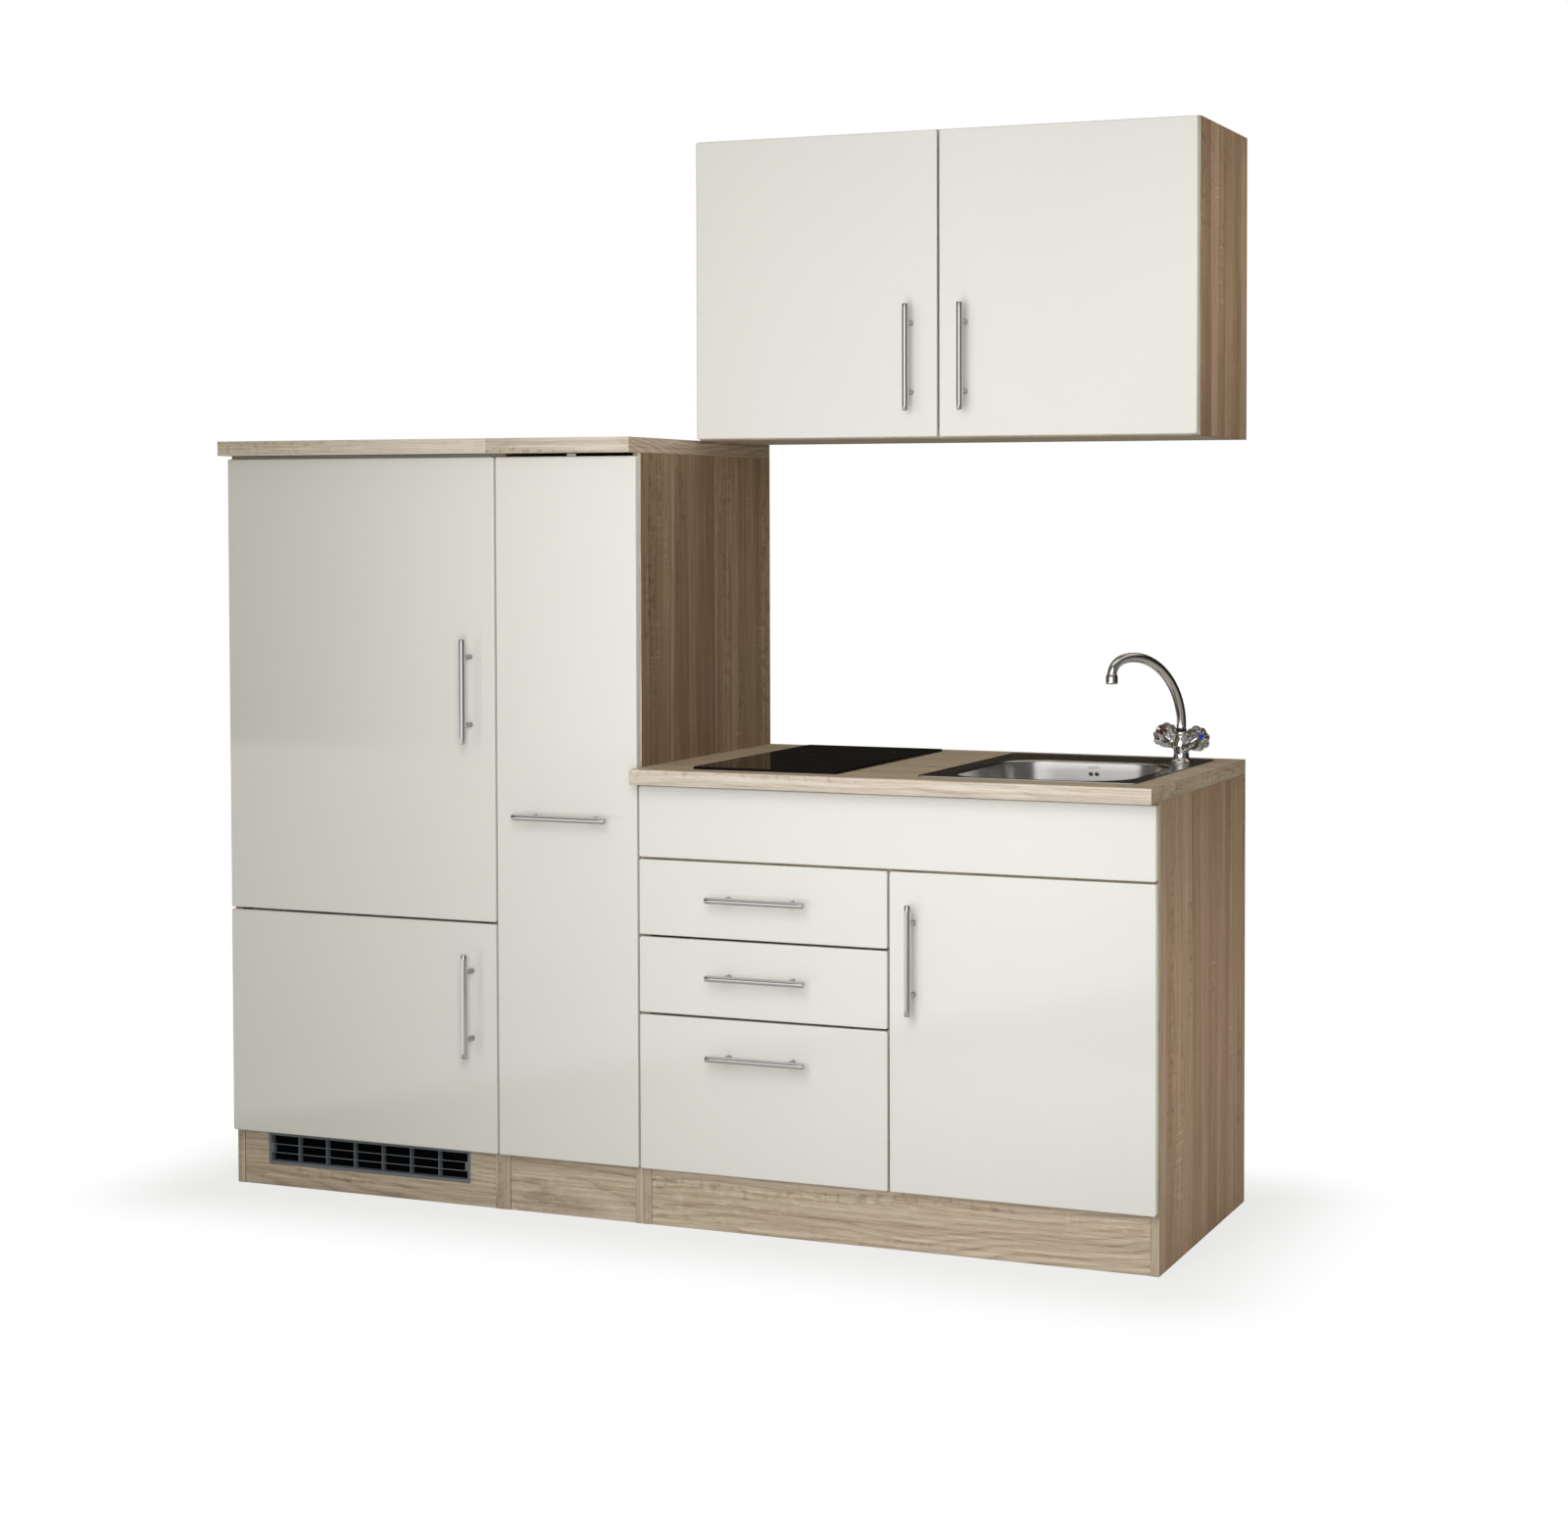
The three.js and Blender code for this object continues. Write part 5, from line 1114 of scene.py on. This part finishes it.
hingeForm = {
    "inset": 90.0, "edge": 15.5, "panel": 14, "cupHalf": 17.5, "start": 2.8, "armHalf": 6.2,
    # Blocks: range inwards, range in depth, height off the hinge's level, half its height, edge radius.
    "flange": ((-0.5, 12.5), (0.02, 1.0), 22, 8, 0.4), "foot": ((0.4, 15.6), (-0.1, 2.9), 7.6, 1.1, 0.4),
    "wing": ((0, 1.8), (26, 46), 14, 8, 0.5), "plate": ((0, 3), (20, 57), 0, 6.4, 0.5),
    # Screws: inwards, depth and height off the level, and on the arm how far they lean.
    "flangeScrew": (6, 0.9, 24), "wingScrew": (1.7, 36, 16), "armScrews": ((8.6, 50, 0.05), (10.3, 30, 0.2)),
    "pin": (1.5, (-8.4, 8.4)), "pinAt": (8, 1.3),
    "cup": [(13.6, 0.25), (14.4, 0.9), (16.6, 1.1), (17.2, 0.8), (17.3, 0.02), (13.6, 0.02)],
    "well": [(0, 0.03), (13.8, 0.03), (13.8, 0.35), (0, 0.3)],
    "arm": [(2.6, 22), (2.6, 58), (8.4, 58), (9.4, 42), (13.6, 18), (13.7, 0.4), (9.6, 0.2), (8.6, 13), (5.2, 22)],
}
hingedDoors = {"sink_door": -1, "wall_door_left": 1, "wall_door_right": -1}  # 1: hinge at its left, -1: right
pegForm = {"pin": [(0, 0), (3.6, 0), (3.8, 0.5), (3.6, 1.2), (2.4, 1.6), (2.4, 8.6), (2.0, 9), (0, 9)],
           "margin": 40, "play": 0.5, "under": 2.6}


def addHinges(doors, form):
    # Everything is measured from the door's hinged edge, inwards along x and away from its back.
    for door, side in doors.items():
        x, z, _, back = frontPlace(door)
        edge, start, body = x[0] if side == 1 else x[1], back + 0.5 + form["start"], frontPieces[door]
        near, face = edge + side * form["edge"], edge + side * form["panel"]
        centre = near + side * form["cupHalf"]
        onDoor, onSide = [], []

        def block(kind, base, depth, level, rise=0):
            reach, y, off, half, round = form[kind]
            (a, b), z = sorted(base + side * r for r in reach), level + rise * off
            return boxShell((a, depth + y[0], z - half), (b, depth + y[1], z + half), round)

        def screw(place, base, depth, level, rise, way):
            return latheShell(screwHead, (base + side * place[0], depth + place[1], level + rise * place[2]), way, 16)

        for level in inset(z, form["inset"]):
            onDoor.append(latheShell(form["cup"], (centre, back, level), toWall, 36))
            # The well is a black disc that paints the shade inside the cup.
            onDoor.append(latheShell(form["well"], (centre, back, level), toWall, 36, slot=1))
            for rise in (-1, 1):
                onDoor.append(block("flange", centre, back, level, rise))
                onDoor.append(screw(form["flangeScrew"], centre, back, level, rise, toWall))
                onDoor.append(block("foot", near, back, level, rise))
                onSide.append(block("wing", face, start, level, rise))
                onSide.append(screw(form["wingScrew"], face, start, level, rise, (side, 0, 0)))
            pinIn, pinDeep = form["pinAt"]
            onDoor.append(pinShell(*form["pin"], (near + side * pinIn, back + pinDeep, level), sides=12))
            onSide.append(block("plate", face, start, level))
            arm = [(face + side * px, start + py) for px, py in form["arm"]]
            onSide.append(prismShell(arm, 2, inset((level, level), -form["armHalf"])))
            onSide += [screw((px, py, 0), face, start, level, 0, (side, lean, 0))
                       for px, py, lean in form["armScrews"]]
        addPiece(door + "_hinge_cups", onDoor, "nickelSteel darkPlastic", body, smooth=False, bevel=0.2)
        addPiece(door + "_hinge_arms", onSide, "nickelSteel", smooth=False, bevel=0.3)


def addShelfPegs(pin, margin, play, under):
    # Four pegs, a margin in from the shelf's corners.
    (x0, y0, z0), (x1, y1, _) = boxOf("wall_shelf")
    shells = [latheShell(pin, (face, y, z0 - under), (side, 0, 0), 18)
              for face, side in ((x0 - play, 1), (x1 + play, -1)) for y in (y0 + margin, y1 - margin + play)]
    addPiece("wall_shelf_pins", shells, "nickelSteel")


addHinges(hingedDoors, hingeForm)
addShelfPegs(**pegForm)
print("hinges made")


# Larder pull-out: rail, guide, runner and the frame with its wire baskets

larderForm = {
    "middle": 750.0, "y": (30.0, 510.0), "rail": 122.0, "member": 122.3, "beam": 153.6, "half": 22.0,
    "flange": 18.7, "web": 5.6, "lipAt": 4.4, "mouth": 8.0, "upright": (15.0, 12.0), "rear": 490.0, "top": 1390.0,
    "guide": [(-9.8, 0), (-9.8, -30), (-4, -30), (-4, -12), (4, -12), (4, -30), (9.8, -30), (9.8, 0)],
    "guideTop": 1430.0, "levels": (175, 420, 665, 910, 1150), "basketHalf": 110.0, "basketRise": 70.0,
    "frameWire": 2.5, "wire": 1.7, "corner": 16.0, "crossWires": 8, "longWires": 4,
    "tabs": (60, 270, 480), "tab": (27, 6, 9), "rivets": (80, 200, 340, 460), "guideY": (10, 510),
    "rivet": [(0, 0), (4.5, 0), (4.5, 1.2), (3.6, 1.8), (0, 1.8)], "rackScrews": (260, 520, 1000, 1300),
}


def mirroredLine(right, middle, level, sign=1):
    # The right half of a profile and its mirror image, at a level; sign -1 turns it over.
    return [(middle + px, level + sign * pz) for px, pz in right + [(-px, pz) for px, pz in right[::-1]]]


def lippedHalf(form, crown):
    # The right half of a channel with lips, whose web is as thick as the crown.
    half, lip, mouth = form["half"], form["lipAt"], form["mouth"]
    return [(half, -crown), (half, 7), (mouth, 7), (mouth, lip), (half - 2.9, lip), (half - 2.9, 0.2)]


def addLarderRails(form):
    # The floor rail, the head guide and the runner's member: profiles carried straight along y.
    m, rail, flange, web = form["middle"], form["rail"], form["flange"], form["web"]
    shells = [prismShell(mirroredLine(lippedHalf(form, 0), m, rail), 1, form["y"])]
    off, wide, deep = form["tab"]
    for y in form["tabs"]:
        for side in (-1, 1):
            tab = m + side * off
            shells.append(boxShell((tab - wide, y - deep, rail + 0.02), (tab + wide, y + deep, rail + 1.4), 0.4))
            shells.append(latheShell(screwHead, (tab + side, y, rail + 1.3), sides=14))
    addPiece("larder_floor_rail", shells, "zincPlate", smooth=False, bevel=0.25)
    guide = [(m + px, form["guideTop"] + pz) for px, pz in form["guide"]]
    addPiece("larder_head_rail", prismShell(guide, 1, form["guideY"]), "zincPlate", smooth=False, bevel=0.4)
    half = [(flange, 0), (flange, 3.7), (web, 3.7), (web, 27.3), (flange, 27.3), (flange, 31)]
    shells = [prismShell(mirroredLine(half, m, form["member"]), 1, form["y"])]
    shells += [latheShell(form["rivet"], (m + side * web, y, form["member"] + 15.5), (side, 0, 0), 18, slot=1)
               for y in form["rivets"] for side in (-1, 1)]
    addPiece("larder_runner_member", shells, "zincPlate nickelSteel", "larder_runner", "larder_slide",
             smooth=False, bevel=0.3)


def addRack(form):
    # A beam, two uprights, a top bar and a foot, with the fork that runs in the head guide.
    (wide, deep), rear, top, beam = form["upright"], form["rear"], form["top"], form["beam"]
    m, end = form["middle"], rear + deep
    shells = [prismShell(mirroredLine(lippedHalf(form, 3), m, beam, -1), 1, form["y"])]
    for y, z in (((0.02, deep), (149.8, top)), ((rear, end), (beam, top)), ((0.4, end - 0.4), (top - 10, top)),
                 ((0.4, 34), (beam, beam + 3))):
        shells.append(boxShell((m - wide, y[0], z[0]), (m + wide, y[1], z[1]), 2.2, steps=4))
    shells += [latheShell(screwHead, (m, deep, level), toWall, 16) for level in form["rackScrews"]]
    for side in (-1, 1):
        a, b = sorted((m + side * 10.4, m + side * 16.2))
        shells.append(boxShell((a, end - 40, top - 1), (b, end, top + 28), 1.6, slot=1, steps=3))
    addPiece("larder_rack_frame", shells, "zincPlate palePlastic", "larder_pullout", smooth=False, bevel=0.3)


def addBaskets(form):
    # Two looped frame wires per basket, and thin wires that go down one side, under and up the other.
    m, half, thick, wire = form["middle"], form["basketHalf"], form["frameWire"], form["wire"]
    x = inset((m - half, m + half), thick)
    y = inset((form["upright"][1] - 1.8, form["rear"] + 1.8), thick)
    loop = roundedOutline(x, y, form["corner"], 7)
    shells = []
    for base in form["levels"]:
        foot, rim = base + thick, base + form["basketRise"] - thick
        shells += [tubeShell(lift(loop, 2, level), thick, 12, looped=True) for level in (foot, rim)]
        for span, other, count, bend, under, axis in ((x, y, form["crossWires"], 3, -0.4, 1),
                                                      (y, x, form["longWires"], 5, 2.6, 0)):
            down = [(0, rim), (0, foot + 9), (2, foot + bend), (7, foot + under)]
            line = [(span[0] + s, z) for s, z in down] + [(span[1] - s, z) for s, z in down[::-1]]
            for index in range(1, count + 1):
                at = other[0] + (other[1] - other[0]) * index / (count + 1)
                shells.append(tubeShell(lift(line, axis, at), wire, 8))
    addPiece("larder_baskets", shells, "wireChrome", "larder_pullout", "larder_rack")


addLarderRails(larderForm)
addRack(larderForm)
addBaskets(larderForm)
print("larder fittings made")


# Fridge-freezer: cabinet, inner doors, shelves and bins

coolerForm = {
    "x": (30.0, 570.0), "cavity": (65.0, 535.0), "doorThick": 52.0, "gasket": (8.0, 12.0, 54.8),
    "headTrim": ((16.4, -0.3, 1418.4), (583.6, 1.9, 1429.6)),
    "cold": (552.5, 1417.7), "frozen": (130.0, 539.5), "ribX": (84.0, 500.0), "rib": (16.0, 110.0), "rackY": 134.8,
    "rackZ": (607.5, 847.5, 1087.5), "rackRise": 70.0, "plug": (60.0, 70.0),
    "shelfTops": (761.5, 926.5, 1091.5, 1256.5), "shelfY": (148.0, 491.0), "crisper": (580, 742),
    "grip": ((220, 712), (380, 736)), "lamp": ((230, 300, 1370), (370, 470, 1387.9)),
    "lens": ((262, 296, 1372), (338, 360, 1384)), "dialAt": (300, 402, 1370),
    "dial": [(0, 0), (15, 0), (14, 10), (12, 12), (0, 12)], "dialFlutes": (14, [0, 0.03, 0.03, 0, 0]),
    # freezer drawers: bottom, top, back
    "drawers": ((154, 262, 358), (268, 384, 484), (390, 507, 484)), "drawerFront": (76, 84),
}


def addInnerDoors(form):
    # A liner with a dam round it, ribs for the racks or a plug into the freezer, and a gasket.
    x, thick = form["x"], form["doorThick"]
    gap, width, reach = form["gasket"]
    for name, z in (("fridge", form["cold"]), ("freezer", form["frozen"])):
        rim = gap + width + 5
        shells = [boxShell((x[0], 0.02, z[0]), (x[1], thick, z[1]), 3.5, steps=4),
                  frameShell(inset(x, rim), inset(z, rim), 9, (thick + 9, thick - 0.5), round=3.0)]
        if name == "fridge":
            wide, deep = form["rib"]
            shells += [boxShell((left, thick - 1, form["rackZ"][0] - 3), (left + wide, deep, z[1] - 55), 5, steps=4)
                       for left in form["ribX"]]
        else:
            edge, deep = form["plug"]
            a, b = inset(x, edge), inset(z, edge)
            shells.append(boxShell((a[0], thick - 1, b[0]), (a[1], deep, b[1]), 5, steps=4))
            for level in np.linspace(*inset(b, 50), 4):
                shells.append(boxShell((a[0] + 24, deep - 2, level - 5), (a[1] - 24, deep + 1.5, level + 5), 1.4,
                                       steps=3))
        addPiece(name + "_door_liner", shells, "enamel", name + "_door", name + "_inner_door",
                 smooth=False, bevel=0.3)
        seal = [frameShell(inset(x, gap), inset(z, gap), width, (reach - 1.2, thick), 0.8),
                frameShell(inset(x, gap + 3.5), inset(z, gap + 3.5), 5, (reach, thick), 1.0)]
        addPiece(name + "_door_seal", seal, "gasketRubber", name + "_door", smooth=False, bevel=0.3)


def addDoorRacks(form):
    # Clear bins between the ribs, each with a bar across its front.
    x, y, rise = (form["ribX"][0] + form["rib"][0] - 2.8, form["ribX"][1] + 2.8), form["rackY"], form["rackRise"]
    bins = [tubShell(x, (form["doorThick"] + 0.3, y), (base, base + rise), 2.4, 13) for base in form["rackZ"]]
    bars = [boxShell((x[0] - 0.4, y - 3.4, base + rise - 13), (x[1] + 0.4, y + 0.15, base + rise - 3), 1.0, steps=3)
            for base in form["rackZ"]]
    addPiece("door_rack_bins", bins, "binPlastic", "fridge_door")
    addPiece("door_rack_trims", bars, "trimPlastic", "fridge_door", smooth=False, bevel=0.3)


def addShelves(form):
    # Glass shelves with trims front and back, the crisper, and the lamp with its dial.
    (x0, x1), (front, back) = inset(form["cavity"], 1.2), form["shelfY"]
    glass, trims = [], []
    for top in form["shelfTops"]:
        glass.append(boxShell((x0 + 2, front + 3, top + 0.4), (x1 - 2, back - 4, top + 4.4), 0.8, steps=3))
        trims.append(boxShell((x0, front, top + 0.1), (x1, front + 11, top + 11), 2.2, steps=4))
        trims.append(boxShell((x0, back - 9, top + 0.1), (x1, back, top + 16), 2.2, steps=4))
    addPiece("fridge_glass_shelves", glass, "shelfGlass")
    addPiece("fridge_shelf_trims", trims, "palePlastic")
    crisper = tubShell((x0 + 3, x1 - 3), (front + 4, back - 6), form["crisper"], 2.6, 18, draft=6)
    (gripX, gripZ), (gripX2, gripZ2) = form["grip"]
    grip = boxShell((gripX, front - 2, gripZ), (gripX2, front + 8, gripZ2), 3.0, slot=1, steps=4)
    addPiece("fridge_crisper", [crisper, grip], "binPlastic palePlastic")
    lamp = [boxShell(*form["lamp"], 6, steps=4), boxShell(*form["lens"], 4, slot=1, steps=4),
            latheShell(form["dial"], form["dialAt"], (0, 0, -1), 28, 2, form["dialFlutes"])]
    addPiece("fridge_lamp_and_dial", lamp, "palePlastic frostedPlastic trimPlastic", smooth=False, bevel=0.3)


def addFreezerDrawers(form):
    # Each drawer is a tub behind a flat front with a grip.
    (x0, x1), (y0, y1) = inset(form["cavity"], 4), form["drawerFront"]
    shells = []
    for z0, z1, back in form["drawers"]:
        shells.append(tubShell((x0, x1), (y1 - 2, back), (z0, z1 - 6), 2.6, 12, draft=4))
        shells.append(boxShell((x0, y0, z0), (x1, y1, z1), 2.4, steps=4))
        shells.append(boxShell((x0 + 120, y0 - 3.5, z1 - 34), (x1 - 120, y0 + 2, z1 - 14), 2.0, slot=1, steps=4))
    addPiece("freezer_drawers", shells, "frostedPlastic trimPlastic")


condenserForm = {"x": (74.0, 526.0), "y": 544.6, "low": 560.0, "pitch": 52.0, "turns": 15, "tube": 2.4,
                 "wires": 57, "wire": 0.75, "apart": 3.1, "over": 14, "clips": (100, 500)}


def addCondenser(x, y, low, pitch, turns, tube, wires, wire, apart, over, clips):
    # A tube that runs to and fro, with half circles at its turns, and thin upright wires on both of its
    # sides. The clips hold it to the back of the cabinet.
    high, backFace = low + (turns - 1) * pitch, boxOf("cooler_cabinet")[1][1]
    half, path = pitch / 2, []
    for row in range(turns):
        z, sign = low + row * pitch, 1 - row % 2 * 2
        a, b = x[::sign]
        path += [(a, y, z), (b, y, z)]
        if row < turns - 1:
            path += [(b + sign * half * math.cos(angle), y, z + half + half * math.sin(angle))
                     for angle in np.linspace(-math.pi / 2, math.pi / 2, 9)[1:-1]]
    shells = [tubeShell(path, tube, 10)]
    for at in np.linspace(*inset(x, 2), wires):
        for side in (-apart, apart):
            shells.append(tubeShell([(at, y + side, low - over), (at, y + side, high + over)], wire, 6))
    for z in (low + 40, high - 40):
        shells += [boxShell((at - 9, backFace + 0.02, z - 7), (at + 9, y - 2.0, z + 7), 0.8) for at in clips]
    addPiece("cooler_condenser", shells, "casingSteel")


addInnerDoors(coolerForm)
addDoorRacks(coolerForm)
addShelves(coolerForm)
addFreezerDrawers(coolerForm)
addCondenser(**condenserForm)
dressNode("cooler_cabinet", "enamel")
addPiece("fridge_head_trim", boxShell(*coolerForm["headTrim"], 0.6), "trimPlastic")
print("fridge fittings made")


# Floor, light and view transform

studio = {
    "floorSize": 9.0, "floorTone": 0.56, "fade": (0.0, 0.32), "nearGlow": 0.74,
    "mirrorEdge": (-1.43, 0.857, 0.515), "mirrorSoft": (-0.10, 0.22),
    "fill": 0.25, "fillRight": 0.02, "rightward": (0.25, 0.75), "fillColour": (1.05, 1.0, 0.82),
    "fillAbove": 0.55, "aboveFrom": (0.55, 0.95), "front": 1.35, "ahead": (0.80, 0.88), "side": 0.12,
    "behind": 0.019, "behindFrom": (-0.25, 0.25), "behindColour": (1.0, 0.86, 0.70),
    "overhead": 0.75, "upward": (0.60, 0.85),
}
lamps = {
    # name: place, aim, size, watts, colour, beam in degrees
    "keySoftbox": ((0.62, -1.95, 1.25), (0.45, 0.0, 1.05), (0.9, 1.8), 25.8, (0.99, 0.99, 1.03), 180.0),
    "highSoftbox": ((0.75, -1.75, 2.25), (0.45, 0.1, 1.75), (1.0, 0.6), 3.2, (0.99, 0.99, 1.03), 180.0),
    "leftSoftbox": ((-0.75, -1.75, 1.95), (-0.65, 0.0, 1.35), (0.8, 0.8), 1.1, (1.08, 1.0, 0.55), 180.0),
    "sideLowSoftbox": ((1.75, -0.15, 0.42), (0.95, 0.02, 0.42), (0.8, 0.9), 1.5, (1.03, 1.0, 0.93), 90.0),
    "sideHighSoftbox": ((1.65, 0.0, 1.85), (0.95, 0.15, 1.76), (0.6, 0.7), 1.2, (1.03, 1.0, 0.93), 90.0),
}
white = (1.0, 1.0, 1.0)


def rayKinds(nodes):
    # 1 for the rays that come from the camera, off a glossy face, or through a clear one.
    return nodes.add("ShaderNodeLightPath", out=("Is Camera Ray", "Is Glossy Ray", "Is Transmission Ray"))


def addFloor(form):
    # The pale floor keeps the shadow near the object and turns into the white of the world further
    # out. The glossy fronts mirror its plain nearer part up to a slanting line, and white beyond it.
    size, glow = form["floorSize"], form["nearGlow"]
    mesh = bpy.data.meshes.new("floor")
    mesh.from_pydata([(-size, -size, 0), (size, -size, 0), (size, size, 0), (-size, size, 0)], [], [(0, 1, 2, 3)])
    look = newMaterial("paleFloor", Roughness=0.8, Base_Color=(form["floorTone"],) * 3)
    place = look.place()
    (lowX, lowY, _), (highX, highY, _) = cadBox
    past = look.vector("SUBTRACT", look.vector("ABSOLUTE", place), ((highX - lowX) / 2, (highY - lowY) / 2, 10.0))
    far = look.vector("LENGTH", look.vector("MAXIMUM", past, (0, 0, 0)), out="Value")
    fade = far.between(*form["fade"]) * (1 - glow) + glow
    offset, nx, ny = form["mirrorEdge"]
    x, y = look.add("ShaderNodeSeparateXYZ", {0: place}, (0, 1))
    mirrored = (x * -nx + y * -ny + offset).between(*form["mirrorSoft"])
    camera, glossy, passing = rayKinds(look)
    seen = camera.math("MAXIMUM", (glossy * mirrored).math("MAXIMUM", passing))
    shine = look.add("ShaderNodeEmission", {"Color": white, "Strength": 1.0})
    blend = look.add("ShaderNodeMixShader", {0: seen * fade, 1: Wire(look, look.shader.outputs[0]), 2: shine})
    look.put(look.tree.nodes["Material Output"].inputs[0], blend)
    mesh.materials.append(materials["paleFloor"])
    addToScene("floor", mesh)


def addWorld(form):
    # Seen directly the world is white. Metal and glass see a pale room in front of the unit and over
    # it, duller sides, and the dim wall that such a unit stands against.
    world = bpy.data.worlds.new("studioWorld")
    bpy.context.scene.world = world
    world.use_nodes = True
    nodes = Nodes(world.node_tree, "Background")
    way = nodes.add("ShaderNodeTexCoord", out="Generated")
    x, y, z = nodes.add("ShaderNodeSeparateXYZ", {0: way}, (0, 1, 2))
    camera, glossy, passing = rayKinds(nodes)
    back, side = y.between(*form["behindFrom"]), form["side"]
    room = (y * -1.0).between(*form["ahead"]) * (form["front"] - side) + side
    room = room.towards(form["behind"], back).towards(form["overhead"], z.between(*form["upward"]))
    fill = x.between(*form["rightward"]) * (form["fillRight"] - form["fill"]) + form["fill"]
    fill = fill + z.between(*form["aboveFrom"]) * form["fillAbove"]
    seen = camera.math("MAXIMUM", passing)
    tint = nodes.mix(glossy, form["fillColour"], nodes.mix(back, white, form["behindColour"]))
    nodes.set(Color=nodes.mix(seen, tint, white), Strength=fill.towards(room, glossy).math("MAXIMUM", seen))


def addLamp(name, place, aim, size, power, colour, beam):
    # An area lamp that faces its aim and shows in no mirror.
    data = bpy.data.lights.new(name, "AREA")
    data.shape = "RECTANGLE"
    data.size, data.size_y = size
    data.energy, data.color, data.spread = power, colour, math.radians(beam)
    lamp = addToScene(name, data)
    lamp.location = place
    x, y, z = np.array(aim) - np.array(place)
    lamp.rotation_euler = (math.atan2(math.hypot(x, y), -z), 0.0, math.atan2(-x, y))
    lamp.visible_camera = lamp.visible_glossy = False


addFloor(studio)
addWorld(studio)
for lampName, lampForm in lamps.items():
    addLamp(lampName, *lampForm)
bpy.context.scene.view_settings.view_transform = "Standard"
print("studio made")
